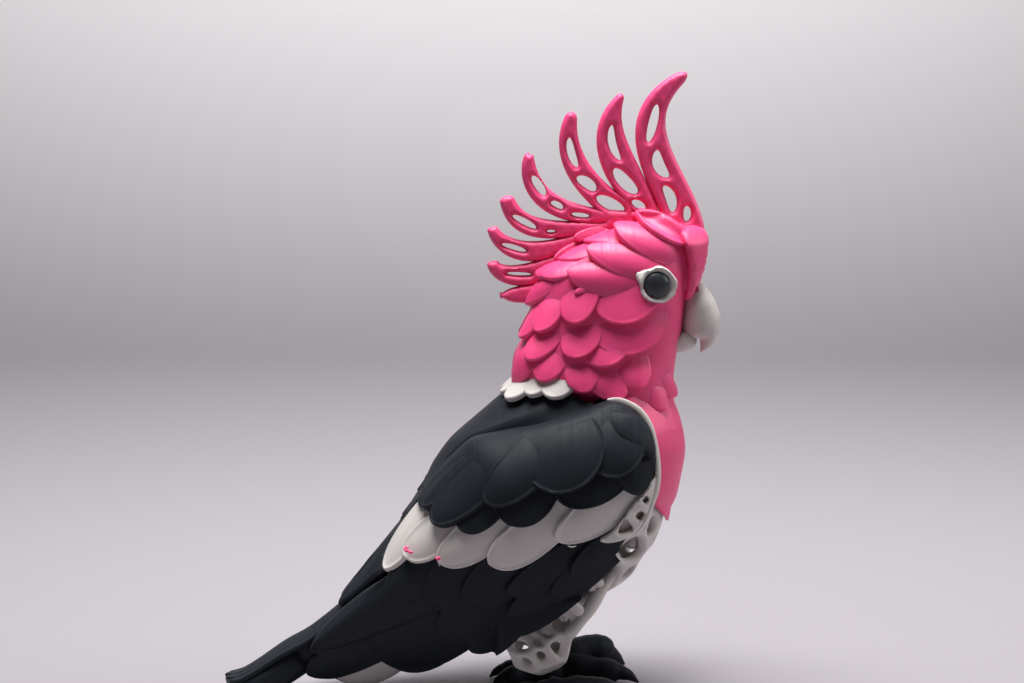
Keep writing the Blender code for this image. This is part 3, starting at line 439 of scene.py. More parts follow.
WING_THICK = curve((60, 4.6), (84, 4.4), (104, 2.6), (122, 2.2))
THIGH_OUT = 22.2


def wing_half(s, d):
    """How far the outside of the folded wing stands from the middle of the bird."""
    mid, wide, edge = WING_MID(s), WING_WIDE(s), WING_EDGE(s)
    t = np.clip((mid - d) / (mid - SKIN_TOP(s)), 0, 1)
    low = np.clip((d - mid) / (WING_LOW(s) - mid), 0, 1.2)
    return np.where(d < mid, edge + (wide - edge) * np.sqrt(1 - t * t), wide - WING_TUCK(s) * low * low)


def wing_inside(s, d):
    edge = WING_EDGE(s)
    inner = np.maximum(wing_half(s, d) - WING_THICK(s), edge - np.where((s < 50) | (s > 95), 1.0, 2.0))
    f, u = from_sd(s, d)
    over_thigh = (np.abs(f - 21.5) < 15) & (u < 33)
    return np.maximum(np.maximum(inner, trunk_half(s, d) + 0.7), np.where(over_thigh, THIGH_OUT + 0.5, 1.0))


def wing_surface(a, b):
    """Place and outward direction on the right wing at side-view coordinates (forward, up)."""
    def half(f, u):
        s, d = to_sd(f, u)
        return wing_half(s, d)
    e = 0.35
    h = half(a, b)
    hf = (half(a + e, b) - half(a - e, b)) / (2 * e)
    hu = (half(a, b + e) - half(a, b - e)) / (2 * e)
    hf, hu = np.clip(hf, -2.5, 2.5), np.clip(hu, -2.5, 2.5)
    n = unit(np.stack([-hf, -np.ones_like(h), -hu], -1))
    return np.stack([a, -h, b], -1), n, np.array([0.0, -1.0, 0.0])


# head and neck
HEAD_BACK = curve((89, 19), (91.7, 18), (95, 16.5), (98, 13.5), (104, 13), (110, 15.2), (120, 18), (128, 20.5), (132, 25), (137, 31.5), (141, 38.5), (144, 47))
HEAD_FRONT = curve((91.7, 60.4), (98, 60.6), (106, 61.6), (113, 63), (120, 64), (126, 66.4), (132, 68.2), (138, 68.8), (141, 67.8), (144, 63))
HEAD_WIDE = curve((91.7, 19), (98, 19.3), (106, 18.2), (113, 17.6), (120, 17.2), (128, 16.8), (134, 15.2), (139, 12.5), (142, 9.5), (144, 6.5))
POWER = 2.35


def ring_at(a, u):
    back, front, wide = HEAD_BACK(u), HEAD_FRONT(u), HEAD_WIDE(u)
    mid, half = (back + front) / 2, (front - back) / 2
    c, s = np.cos(a), np.sin(a)
    f = mid + half * np.sign(c) * np.abs(c) ** (2 / POWER)
    squeeze = 1 - 0.5 * smooth((f - 58.5) / 10) * smooth((u - 116) / 6)
    return np.stack([f, -wide * squeeze * np.sign(s) * np.abs(s) ** (2 / POWER), u + 0 * f], -1)


# arc length round the neck at each height: 0 at the bird's right, + to the front
LEVELS = np.arange(86.0, 144.01, 0.5)
TURN = np.linspace(-math.pi / 2, 1.5 * math.pi, 721)
_rings = ring_at(TURN[None], LEVELS[:, None])
_arc = np.concatenate([np.zeros((len(LEVELS), 1)), np.cumsum(np.linalg.norm(np.diff(_rings, axis=1), axis=2), 1)], 1)
_zero = np.array([np.interp(math.pi / 2, TURN, row) for row in _arc])
_arc = _arc - _zero[:, None]


def turn_of(w, u):
    w, u = np.broadcast_arrays(np.asarray(w, float), np.asarray(u, float))
    k = np.clip((u - LEVELS[0]) / 0.5, 0, len(LEVELS) - 1.001)
    i = k.astype(int)
    part = k - i
    flat_w = -w.ravel()
    out = []
    for level in (i.ravel(), i.ravel() + 1):
        got = np.empty(len(flat_w))
        for one in np.unique(level):
            m = level == one
            got[m] = np.interp(flat_w[m], _arc[one], TURN)
        out.append(got)
    a = out[0] * (1 - part.ravel()) + out[1] * part.ravel()
    return a.reshape(w.shape)


def neck_surface(a, b):
    """Place and outward direction on the neck at (arc length, up)."""
    turn = turn_of(a, b)
    p = ring_at(turn, b)
    e = 0.01
    du = ring_at(turn, b + 0.4) - ring_at(turn, b - 0.4)
    da = ring_at(turn + e, b) - ring_at(turn - e, b)
    n = unit(np.cross(da, du))
    mid = (HEAD_BACK(b) + HEAD_FRONT(b)) / 2
    out = np.stack([p[..., 0] - mid, p[..., 1], np.zeros_like(mid)], -1)
    n = np.where((n * out).sum(-1, keepdims=True) < 0, -n, n)
    return p, n


def head_surface(a, b):
    """Place and outward direction on the right of the head at side-view (forward, up)."""
    def half(f, u):
        v = np.clip(u, 86, 144)
        back, front, wide = HEAD_BACK(v), HEAD_FRONT(v), HEAD_WIDE(v)
        mid, reach = (back + front) / 2, (front - back) / 2
        x = np.clip(np.abs(f - mid) / reach, 0, 0.985)
        squeeze = 1 - 0.34 * np.clip((f - 58) / 12, 0, 1) ** 1.5 * smooth((u - 116) / 6)
        return wide * (1 - x ** POWER) ** (1 / POWER) * squeeze - np.clip(u - 143.5, 0, 9) * 1.6
    e = 0.35
    h = half(a, b)
    hf = np.clip((half(a + e, b) - half(a - e, b)) / (2 * e), -2, 2)
    hu = np.clip((half(a, b + e) - half(a, b - e)) / (2 * e), -2, 2)
    n = unit(np.stack([-hf, -np.ones_like(h), -hu], -1))
    return np.stack([a, -h, b], -1), n


# ---------------------------------------------------------------- feathers
def spread(n, edge=0.22):
    """Places across a feather from -1 to 1, closer together at its edges."""
    t = np.linspace(-1, 1, n)
    return np.sign(t) * (1 - (1 - np.abs(t)) ** (1 + edge * 4) * 1.0)


def feather(surface, tip, angle, length, width, lift=(-1.0, 0.6), crown=0.5, rim=0.25, thick=1.5, lean=0.0,
            blunt=1.6, root=0.75, bend=0.0, dish=0.0, rim_wide=0.42, rim_in=0.5, rows=26, cols=19, quill=0.0, skew=0.0):
    """A closed plate shaped like a feather, laid on a surface. lift is its height at root and tip,
    lean raises the edge on the left of its direction, rim is a bead round its free edge."""
    rad = math.radians(angle)
    along, across = np.array([math.cos(rad), math.sin(rad)]), np.array([-math.sin(rad), math.cos(rad)])
    t = np.sin(np.linspace(0, 1, rows) * math.pi / 2)
    body = root + (1 - root) * np.sin(np.clip(t * 1.25, 0, 1) * math.pi / 2)
    half = width / 2 * body * np.sqrt(np.clip(1 - t ** (2 * blunt), 0, 1))
    y = spread(cols)
    x = (t - 1) * length
    side = half[:, None] * (y * (1 + skew * y.clip(-1, 1) / np.maximum(np.abs(y), 1e-9)))[None] + bend * length * (t ** 2 - 1)[:, None]
    ahead = np.broadcast_to(x[:, None], side.shape)
    flat = np.array(tip) + ahead[..., None] * along + side[..., None] * across
    outline = np.concatenate([flat[:, 0], flat[::-1, -1]])
    # the root end is not a free edge, so distances ignore it
    d_edge = np.full(side.size, 1e9)
    pts = flat.reshape(-1, 2)
    for line in (flat[:, 0], flat[:, -1]):
        a, b = line[:-1], line[1:]
        v = b - a
        w = pts[:, None] - a[None]
        k = np.clip((w * v).sum(2) / np.maximum((v * v).sum(1), 1e-12), 0, 1)
        d_edge = np.minimum(d_edge, np.linalg.norm(w - k[..., None] * v, axis=2).min(1))
    d_edge = d_edge.reshape(side.shape)
    tt = np.broadcast_to(t[:, None], side.shape)
    yy = np.broadcast_to(y[None], side.shape)
    base = lift[0] + (lift[1] - lift[0]) * tt ** 1.3
    if surface is wing_surface:
        # roots dive under the wing's top edge
        along, deep = to_sd(flat[..., 0], flat[..., 1])
        base = base - 5.0 * smooth((WING_TOP(along) + 2.6 - deep) / 2.6) * (along > -3)
    tilt = lean * yy * (0.4 + 0.6 * tt)
    h = crown * (1 - yy ** 2) * smooth(tt * 2.0) * (1 - 0.55 * tt ** 6) + tilt
    h = h - dish * smooth(d_edge / max(width * 0.28, 0.1))
    h = h + rim * np.exp(-(((d_edge - rim_in) / rim_wide) ** 2)) * smooth(tt * 1.6)
    if quill:
        h = h + quill * np.exp(-((side / (0.5)) ** 2)) * smooth(tt * 3) * (1 - smooth((tt - 0.7) / 0.3))
    round_r = min(0.6, thick * 0.45)
    edge = np.clip(d_edge / round_r, 0, 1)
    h = h - round_r * (1 - np.sqrt(np.clip(1 - (1 - edge) ** 2, 0, 1)))
    found = surface(flat[..., 0], flat[..., 1])
    p, n = found[0], found[1]
    push = found[2] if len(found) > 2 else n
    p = p + push * base[..., None]
    top = p + n * h[..., None]
    low_h = np.minimum(h - 0.25, tilt - thick)
    low = p + n * low_h[..., None]
    if surface is wing_surface:
        near = smooth((16.5 - np.abs(top[..., 0] - 21.5)) / 3) * smooth((38 - top[..., 2]) / 3)
        top[..., 1] = np.minimum(top[..., 1], -(THIGH_OUT + 1.6 + 0.12 * (h - tilt)) * near)
        low[..., 1] = np.minimum(low[..., 1], -(THIGH_OUT + 0.4) * near)
    points, faces = grid_solid(top, low)
    return points, faces, top[0, cols // 2]


# ---------------------------------------------------------------- neck and head
# tip (arc length, up), direction, length, width, height at root and tip, lean
NECK = (
    # tip_w, tip_u, angle, length, width, root, tip, lean
    (26.8, 92.7, 306, 13.5, 9.5, -1.2, 0.7, 0.3),
    (18.5, 89.2, 286, 13.0, 10.0, -1.2, 0.5, 0.3),
    (12.6, 96.5, 292, 14.0, 13.0, -1.0, 1.1, 0.4),
    (3.6, 92.9, 280, 14.5, 14.0, -1.2, 0.9, 0.4),
    (-6.0, 95.8, 252, 14.0, 12.0, -1.3, 0.9, 0.3),
    (-17.0, 98.6, 246, 15.0, 12.0, -1.2, 1.0, 0.3),
    (-29.0, 96.9, 236, 20.0, 11.5, -0.6, 1.3, 0.3),
    (3.8, 102.9, 290, 14.0, 15.0, -0.8, 1.5, 0.5),
    (-6.1, 105.1, 276, 14.5, 13.5, -0.9, 1.4, 0.4),
    (-20.7, 104.2, 247, 15.0, 12.0, -0.9, 1.4, 0.3),
    (-8.8, 115.2, 279, 15.5, 12.5, -0.7, 1.8, 0.4),
    (-19.8, 112.1, 261, 14.5, 11.5, -0.7, 1.7, 0.4),
    (-27.0, 109.6, 250, 15.0, 9.0, -0.8, 1.5, 0.2),
    (-32.7, 120.0, 212, 21.0, 8.5, -0.8, 1.3, 0.2),
    (-28.8, 128.3, 203, 15.0, 6.4, -0.8, 1.4, 0.2),
    (-11.8, 124.2, 211, 10.0, 4.2, -0.6, 0.5, 0.2),
)

neck = Piece("neck_and_head", "pink", PINK, ("head", "neck"))
# the skin under the feathers, one closed shell from the shoulders to the crown
levels = np.concatenate([np.linspace(91.0, 140, 54), np.linspace(140.4, 144, 8)])
turns = np.linspace(0, 2 * math.pi, 130, endpoint=False)
def skin_ring(u):
    ring = ring_at(turns, u)
    mid = ring.mean(0) * (1, 0, 0) + (0, 0, u)
    tuck = 0.17 * smooth((96.5 - u) / 3.5) * smooth((43.5 - ring[:, 0]) / 4)
    return mid + (ring - mid) * (1 - tuck[:, None])


neck.add(*tube([skin_ring(u) for u in levels]))
for w, u, angle, length, width, low, high, lean in NECK:
    shape = feather(neck_surface, (w, u), angle, length, width, lift=(low - 0.5, high + 0.6), crown=0.8, rim=0.10, lean=lean, thick=2.2, blunt=1.8, rows=30, cols=23)
    neck.mirror(shape[0], shape[1], shape[2])

# cheeks: two broad lobes behind and below the eye
for w, u, angle, length, width, low, high, crown in (
    (9.4, 106.2, 282, 19.0, 25.5, -1.4, 1.7, 0.8),
    (6.4, 115.4, 284, 18.0, 22.5, -1.4, 2.2, 0.8),
):
    shape = feather(neck_surface, (w, u), angle, length, width, lift=(low, high), crown=crown, rim=0.16, thick=2.0, blunt=1.5, root=0.9, rows=40, cols=33, rim_wide=0.5, rim_in=0.6)
    neck.mirror(shape[0], shape[1], shape[2])

# caps: long lobes sweeping back over the crown, upper ones over lower ones
CAPS = (
    # tip f, u, angle, length, width, root, tip, crown
    (28.9, 129.6, 172, 32.0, 12.6, -1.6, 1.3, 1.3),
    (34.8, 135.6, 168, 29.0, 10.8, -1.2, 2.1, 1.3),
    (42.8, 141.3, 163, 24.0, 9.8, -0.9, 2.8, 1.4),
)
for f, u, angle, length, width, low, high, crown in CAPS:
    shape = feather(head_surface, (f, u), angle, length, width, lift=(low, high), crown=crown, rim=0.12, thick=2.6, blunt=1.5, root=0.8, rows=48, cols=31)
    neck.mirror(shape[0], shape[1], shape[2])
# the front cap is a raised loop round a sunk floor
shape = feather(head_surface, (49.2, 144.4), 160, 14.0, 7.2, lift=(1.8, 3.0), crown=0.0, rim=1.7, dish=1.6, thick=3.0, blunt=1.3, root=0.6, rim_in=1.0, rim_wide=0.8, rows=48, cols=37)
neck.mirror(shape[0], shape[1], shape[2])
# small feathers that fill the side of the head behind the caps
for f, u, angle, length, width, low, high in ((24.6, 133.4, 200, 16, 6.0, -1.0, 1.2), (30.4, 139.4, 190, 14, 5.4, -0.8, 1.6), (21.6, 128.0, 206, 16, 6.4, -1.0, 1.2)):
    shape = feather(head_surface, (f, u), angle, length, width, lift=(low, high), crown=0.7, rim=0.2, thick=1.8, blunt=1.4, rows=30, cols=21)
    neck.mirror(shape[0], shape[1], shape[2])


# ---------------------------------------------------------------- brow, eye and beak
def plate(outline, height, depth, surface, step=0.8, round_r=0.8, holes=()):
    """A closed plate over a side-view outline; height is a function of the flat places."""
    flat, tris = region([[tuple(p) for p in outline]], cut=[[tuple(p) for p in h] for h in holes], step=step)
    away = to_outline(flat, outline)
    for hole in holes:
        away = np.minimum(away, to_outline(flat, hole))
    edge = np.clip(away / round_r, 0, 1)
    h = height(flat) - round_r * (1 - np.sqrt(np.clip(1 - (1 - edge) ** 2, 0, 1)))
    found = surface(flat[:, 0], flat[:, 1])
    p, n = found[0], found[1]
    push = found[2] if len(found) > 2 else n
    top, low = p + push * h[:, None], p + push * (np.minimum(height(flat), h) - depth)[:, None]
    return prism(top, low, [tuple(t) for t in tris])


def closed_path(keys, n=90):
    """A closed smooth outline through the keys."""
    k = np.array(list(keys), float)
    m = len(k)
    t = np.linspace(0, m, n, endpoint=False)
    i = t.astype(int)
    x = (t - i)[:, None]
    a, b, c, d = k[(i - 1) % m], k[i % m], k[(i + 1) % m], k[(i + 2) % m]
    return 0.5 * (2 * b + (c - a) * x + (2 * a - 5 * b + 4 * c - d) * x * x + (3 * b - 3 * c + d - a) * x ** 3)


BROW = closed_path(((63.9, 121.8), (64.3, 126.0), (64.4, 131.0), (63.6, 136.0), (61.8, 140.5), (62.6, 142.6), (65.6, 143.4), (68.6, 142.6), (70.2, 140.0), (70.0, 136.0), (69.4, 132.0), (68.4, 128.5), (67.0, 125.2), (65.4, 122.0)))


def brow_surface(a, b):
    """The forehead, which narrows towards the middle of the bird at its front."""
    front = HEAD_FRONT(np.clip(b, 86, 144)) + np.clip(b - 141, 0, 9) * 0.35
    x = np.clip((front + 1.2 - a) / 7.2, 0.0, 1)
    wide = 12.0 * x ** 0.5 * (1 - 0.055 * np.clip(b - 138, 0, 12)) + 0.4
    n = unit(np.stack([0.55 * (1 - x) + 0.12, -np.ones_like(a), 0.1 * np.ones_like(a)], -1))
    return np.stack([a, -wide, b], -1), n


shape = plate(BROW, lambda q: 1.9 + 0 * q[:, 0], 3.9, brow_surface, step=0.8, round_r=1.5)
neck.mirror(shape[0], shape[1])
# the forehead's front face joins the two sides
ups = np.linspace(124.6, 143.2, 26)
rings = []
for u in ups:
    front = float(HEAD_FRONT(min(u, 144))) + max(u - 141, 0) * 0.35 + 0.9
    a = np.linspace(0, 2 * math.pi, 28, endpoint=False)
    rings.append(np.stack([front - 5.2 + 5.2 * np.cos(a) * np.where(np.cos(a) > 0, 1, 0.6), 8.2 * np.sign(np.sin(a)) * np.abs(np.sin(a)) ** 0.8, np.full(28, u)], 1))
neck.add(*tube(rings))

EYE = np.array([54.2, 126.6])
turn = np.linspace(0, 2 * math.pi, 120, endpoint=False)
reach = 5.25 + 1.75 * np.exp(-((np.degrees(turn) - 151) / 15) ** 2) + 0.14 * np.sin(5 * turn + 1) + 0.10 * np.sin(9 * turn)
RING_OUT = EYE + (0.25, 0.0) + reach[:, None] * np.stack([np.cos(turn), np.sin(turn)], 1)
white_eye = Piece("eye_rings", "white", WHITE, ("eye_ring_L", "eye_ring_R"))
dark_eye = Piece("eyes", "charcoal", EYE_DARK, ("eye_L", "eye_R"))


def eye_height(q):
    r = np.hypot(q[:, 0] - EYE[0], q[:, 1] - EYE[1])
    wave = 0.10 * np.sin(np.arctan2(q[:, 1] - EYE[1], q[:, 0] - EYE[0]) * 7)
    return 1.35 + 0.75 * np.exp(-(((r - 4.75) / 0.8) ** 2)) + wave - 1.3 * smooth((4.3 - r) / 0.9)


shape = plate(RING_OUT, eye_height, 2.0, head_surface, step=0.5, round_r=0.5)
white_eye.mirror(shape[0], shape[1])
p, n = head_surface(np.array([EYE[0]]), np.array([EYE[1]]))
centre, way = p[0], n[0]
side = unit(np.cross(way, (0, 0, 1.0)))
top = np.cross(side, way)
rings = []
for k, (r, h) in enumerate([(3.95, 0.0)] + [(3.95 * math.cos(v), 0.75 + 1.65 * math.sin(v)) for v in np.linspace(0, 1.45, 16)]):
    a = np.linspace(0, 2 * math.pi, 56, endpoint=False)
    wob = 1 + 0.025 * np.sin(3 * a + 0.6) + 0.015 * np.sin(7 * a)
    rings.append(centre + way * h + r * (np.cos(a) * wob)[:, None] * side + r * 0.97 * (np.sin(a) * wob)[:, None] * top)
shape = tube(rings)
dark_eye.mirror(shape[0], shape[1])

beak = Piece("beak", "white", WHITE, ("beak_upper", "beak_lower"))
RIDGE = curve((0, 68.4), (0.08, 69.6), (0.2, 71.4), (0.34, 73.3), (0.5, 74.5), (0.64, 74.3), (0.78, 73.2), (0.9, 71.2), (1, 69.5)), curve((0, 126.6), (0.08, 125.4), (0.2, 123.2), (0.34, 119.8), (0.5, 115.2), (0.64, 111.6), (0.78, 108.6), (0.9, 106.4), (1, 105.3))
GAPE = curve((0, 64.0), (0.2, 63.2), (0.4, 62.9), (0.54, 64.2), (0.66, 68.2), (0.8, 68.6), (0.9, 68.6), (1, 68.7)), curve((0, 124.8), (0.2, 119.6), (0.4, 113.6), (0.54, 110.0), (0.66, 109.2), (0.8, 107.6), (0.9, 106.3), (1, 105.2))
BEAK_WIDE = curve((0, 3.6), (0.15, 6.0), (0.3, 7.0), (0.5, 6.6), (0.66, 4.8), (0.8, 3.2), (0.92, 1.7), (1, 0.35))
rings = []
for t in np.linspace(0, 1, 46):
    o, i = np.array([RIDGE[0](t), RIDGE[1](t)]), np.array([GAPE[0](t), GAPE[1](t)])
    a = np.linspace(0, 2 * math.pi, 44, endpoint=False)
    mid, arm = (o + i) / 2, (o - i) / 2
    c, s = np.cos(a), np.sin(a)
    wide = float(BEAK_WIDE(t))
    rings.append(np.stack([mid[0] + arm[0] * c, wide * np.sign(s) * np.abs(s) ** 0.85, mid[1] + arm[1] * c], 1))
beak.add(*tube(rings))
rings = []
for t in np.linspace(0, 1, 16):
    a = np.linspace(0, 2 * math.pi, 32, endpoint=False)
    f = 60.8 + 6.8 * t
    deep, wide = 3.6 * (1 - t ** 2.6) ** 0.5 + 0.1, 5.9 * (1 - t ** 2.2) ** 0.5 + 0.2
    rings.append(np.stack([np.full(32, f), wide * np.sin(a), 108.6 + 0.3 * t + deep * np.cos(a)], 1))
beak.add(*tube(rings))
# nostrils: small bumps of the pink plastic, coloured a dark red that is painted shade for the hollow of each nostril
nostril = Piece("nostrils", "pink", NOSTRIL_PAINTED_SHADE)
a = np.linspace(0, 2 * math.pi, 20, endpoint=False)
rings = [np.stack([66.6 + r * 0.95 * np.cos(a), np.full(20, -l), 124.7 + r * 1.15 * np.sin(a)], 1) for r, l in ((0.9, 5.2), (0.9, 6.9), (0.6, 7.15), (0.2, 7.2))]
nostril.mirror(*tube(rings))

# ---------------------------------------------------------------- crest
# root, two handles and tip of each feather's middle line, then its half width at the root,
# at 0.3 and 0.6 along it and near its tip
CREST = (
    ((63.6, 140.2), (63.7, 153.9), (40.1, 173.0), (63.9, 188.1), (6.1, 5.5, 4.8, 3.2)),
    ((53.3, 146.1), (45.6, 157.9), (36.1, 169.3), (44.8, 182.0), (2.9, 4.9, 4.6, 2.7)),
    ((43.2, 147.7), (43.4, 148.9), (23.9, 159.4), (30.2, 176.8), (5.0, 4.0, 3.7, 2.8)),
    ((47.0, 146.0), (12.5, 143.6), (17.3, 164.5), (17.3, 164.4), (1.6, 3.0, 2.6, 1.6)),
    ((38.3, 142.7), (21.7, 141.3), (13.1, 140.9), (10.3, 151.9), (1.7, 2.7, 3.0, 2.6)),
    ((33.2, 139.9), (15.3, 130.6), (7.4, 138.0), (6.1, 142.7), (1.6, 3.0, 2.7, 1.9)),
    ((26.3, 132.9), (18.3, 126.8), (7.3, 126.8), (6.2, 132.5), (2.2, 3.3, 2.9, 2.1)),
    ((21.3, 123.8), (16.6, 122.3), (10.1, 122.3), (8.5, 122.2), (2.5, 2.7, 2.2, 0.9)),
)
# openings of each crest feather: its two ends, half its width, and how far it bows
OPEN = (
    ((55.1, 178.9, 52.5, 167.9, 1.3, 0.12), (55.0, 165.4, 58.5, 157.5, 1.7, -1.06), (57.4, 154.9, 60.1, 147.2, 1.5, 0.71), (64.2, 148.9, 64.1, 144.5, 1.1, 0.15)),
    ((41.7, 172.8, 44.2, 162.6, 1.15, -1.06), (42.5, 159.9, 49.3, 152.8, 1.8, -0.3), (47.9, 150.4, 51.8, 148.0, 1.1, 0.17)),
    ((29.1, 169.1, 31.5, 160.5, 1.15, -0.53), (31.5, 157.5, 37.1, 153.7, 1.5, 0.29), (37.4, 151.6, 45.5, 147.4, 1.7, 0.06)),
    ((18.2, 157.8, 22.0, 152.2, 1.2, 0.06), (23.8, 150.1, 27.3, 148.3, 0.85, 0.2), (30.0, 146.6, 35.1, 146.0, 0.6, 0.0)),
    ((12.4, 146.1, 19.3, 142.4, 0.9, 0.07), (22.6, 141.5, 25.0, 141.5, 0.35, 0.0)),
    ((9.2, 137.6, 16.3, 135.5, 0.7, 0.1),),
    ((10.7, 128.9, 17.8, 128.6, 0.45, 0.0),),
    (),
)


def bezier(p, t):
    p = [np.array(q) for q in p]
    t = np.asarray(t, float)[:, None]
    return (1 - t) ** 3 * p[0] + 3 * t * (1 - t) ** 2 * p[1] + 3 * t * t * (1 - t) * p[2] + t ** 3 * p[3]


def crest_half(row, t):
    keys = np.polyfit((0, 0.3, 0.6, 0.85), CREST[row][4], 3)
    wide = np.maximum(np.polyval(keys, np.clip(t, 0, 1)), 1.3 if row < 3 else 0.9)
    return wide * np.sqrt(np.clip(1 - np.clip((t - 0.965) / 0.035, 0, 1) ** 2, 0, 1))


def crest_outline(row, n=60):
    """Round the feather, starting inside the crown."""
    p = CREST[row][:4]
    t = np.sin(np.linspace(0, 1, n) * math.pi / 2)
    mid, half = bezier(p, t), crest_half(row, t)
    along = unit(np.gradient(mid, axis=0))
    side = np.stack([-along[:, 1], along[:, 0]], 1)
    sunk = (0.0, 4.5, 5.5, 3.0, 4.0, 4.0, 5.0, 5.0)[row]
    one, two = mid + side * half[:, None], mid - side * half[:, None]
    if sunk:
        one = np.concatenate([[one[0] - along[0] * sunk], one])
        two = np.concatenate([[two[0] - along[0] * sunk], two])
    return np.concatenate([one, two[:-1][::-1]])


def opening(f0, u0, f1, u1, half, bow, n=14):
    run = np.array([f1 - f0, u1 - u0])
    side = np.array([-run[1], run[0]]) / np.linalg.norm(run)
    k = np.sin(np.linspace(-1, 1, 2 * n + 1) * math.pi / 2)
    mid = np.array([(f0 + f1) / 2, (u0 + u1) / 2]) + k[:, None] * run / 2 + side * (bow * (1 - k * k))[:, None]
    out = side * (half * np.sqrt(np.clip(1 - np.abs(k) ** 2.2, 0, 1)))[:, None]
    return np.concatenate([mid + out, (mid - out)[1:-1][::-1]])


for row in range(len(CREST)):
    crest = Piece("crest_feather_%d" % (row + 1), "pink", PINK, ("crest_%d" % (row + 1),))
    outline = crest_outline(row)
    slots = [opening(*k) for k in OPEN[row]]
    flat, tris = region([[tuple(q) for q in outline]], cut=[[tuple(q) for q in s] for s in slots], step=0.5)
    away = to_outline(flat, outline)
    for s in slots:
        away = np.minimum(away, to_outline(flat, s))
    r = 1.7
    swell = 1.0 if row < 3 else 1.0
    thick = (0.25 + 1.95 * np.sqrt(np.clip(1 - (1 - np.clip(away / r, 0, 1)) ** 2, 0, 1))) * swell
    thick = thick + 0.06 * np.sin(flat[:, 0] * 1.9 + row) * np.sin(flat[:, 1] * 1.3)
    top = np.stack([flat[:, 0], -thick, flat[:, 1]], 1)
    low = np.stack([flat[:, 0], thick, flat[:, 1]], 1)
    crest.add(*prism(top, low, [tuple(t) for t in tris]))
    crest.make(sharp=60)

neck.make()
white_eye.make()
dark_eye.make()
beak.make()
nostril.make()


# ---------------------------------------------------------------- wings
# feathers as tip forward, tip up, direction, length, width, height at root and tip,
# crown, lean; each row runs from the rear to the front
SHOULDER = (
    (-14.0, 61.7, 230, 30.0, 8.0, -1.4, 0.7, 0.6, -0.3, 1.3, 0.0),
    (-10.8, 58.2, 224, 34.0, 13.0, -1.6, 0.6, 0.8, -0.4, 1.5, 0.0),
    (4.6, 65.4, 221, 27.0, 14.5, -1.0, 0.8, 0.9, -0.4, 1.6, 0.0),
    (34.0, 71.6, 309, 22.0, 27.5, -1.2, 0.8, 0.8, 0.1, 1.8, 0.0),
    (48.6, 76.4, 322, 19.5, 19.6, -1.0, 0.9, 0.8, 0.1, 2.2, 0.0),
)
SECOND = (
    (-1.9, 56.3, 239, 26.0, 16.1, -3.4, -1.4, 0.7, -0.4, 1.6, 0.0),
    (12.0, 58.8, 248, 22.0, 20.8, -3.2, -1.2, 0.7, -0.4, 1.5, 0.0),
    (38.6, 65.2, 292, 20.0, 25.0, -3.2, -1.1, 0.7, -0.2, 3.0, 0.0),
    (49.1, 67.2, 281, 18.0, 15.0, -2.8, -1.0, 0.7, -0.2, 1.1, 0.0),
)
BAND = (
    (-25.6, 42.3, 234, 34.0, 7.4, -4.6, -2.8, 0.5, -0.3, 1.9, 0.0),
    (-19.2, 47.2, 220, 32.0, 11.6, -4.6, -2.5, 0.8, -0.5, 2.4, 0.1),
    (-8.7, 46.6, 219, 32.0, 14.0, -4.5, -2.4, 0.9, -0.6, 2.2, 0.1),
    (5.9, 46.8, 219, 32.0, 14.0, -4.4, -2.3, 0.9, -0.6, 2.6, 0.15),
    (25.1, 54.5, 215, 28.0, 15.5, -4.3, -2.2, 0.9, -0.6, 1.1, 0.1),
)
LOWER_1 = (
    (-24.7, 33.5, 232, 34.0, 15.4, -6.4, -3.7, 0.6, -0.4, 2.0, 0.25),
    (-11.5, 32.7, 236, 32.0, 17.0, -6.2, -3.6, 0.6, -0.4, 2.1, 0.1),
    (-2.0, 34.3, 222, 34.0, 17.0, -6.2, -3.5, 0.7, -0.4, 1.65, 0.1),
    (10.6, 37.4, 211, 31.0, 13.0, -6.2, -3.4, 0.7, -0.4, 1.3, 0.1),
    (29.4, 43.6, 219, 15.5, 10.0, -6.0, -3.5, 0.6, -0.4, 1.4, 0.1),
)
LOWER_2 = (
    (-31.4, 20.8, 219, 44.0, 22.0, -7.4, -4.7, 0.6, -0.4, 1.3, 0.5),
    (-8.5, 22.2, 223, 40.0, 20.0, -7.4, -4.7, 0.6, -0.4, 2.6, 0.1),
    (10.6, 28.4, 216, 34.0, 14.5, -7.2, -4.6, 0.6, -0.4, 1.5, 0.1),
    (23.6, 37.0, 216, 22.0, 11.0, -7.0, -4.5, 0.6, -0.4, 1.4, 0.1),
)
LOWER_3 = (
    (-29.4, 14.8, 213, 40.0, 20.0, -8.2, -5.6, 0.5, -0.3, 3.2, 0.48),
    (0.4, 17.1, 234, 38.0, 17.6, -8.2, -5.6, 0.5, -0.3, 1.8, 0.0),
    (11.8, 24.4, 220, 33.0, 12.0, -8.0, -5.5, 0.5, -0.3, 1.5, 0.0),
    (24.0, 36.4, 219, 20.0, 10.0, -7.8, -5.3, 0.5, -0.3, 1.5, 0.0),
)
LONG = (
    (-40.2, 29.1, 228, 38.0, 5.0, -4.4, -2.6, 0.5, -0.2, 1.1, 0.0),
    (-48.1, 15.8, 213, 54.0, 15.8, -6.0, -3.0, 0.8, -0.3, 1.05, 0.0),
    (-49.8, 7.6, 219, 48.0, 17.0, -7.0, -4.2, 0.5, -0.2, 1.9, 0.35),
)

coverts = Piece("wing_coverts", "charcoal", DARK, ("wing_coverts_L", "wing_coverts_R"))
band = Piece("wing_band", "white", WHITE, ("wing_band_L", "wing_band_R"))
lower = Piece("wing_secondaries", "charcoal", DARK, ("wing_secondaries_L", "wing_secondaries_R"))
flights = Piece("wing_primaries", "charcoal", DARK, ("wing_primaries_L", "wing_primaries_R"))


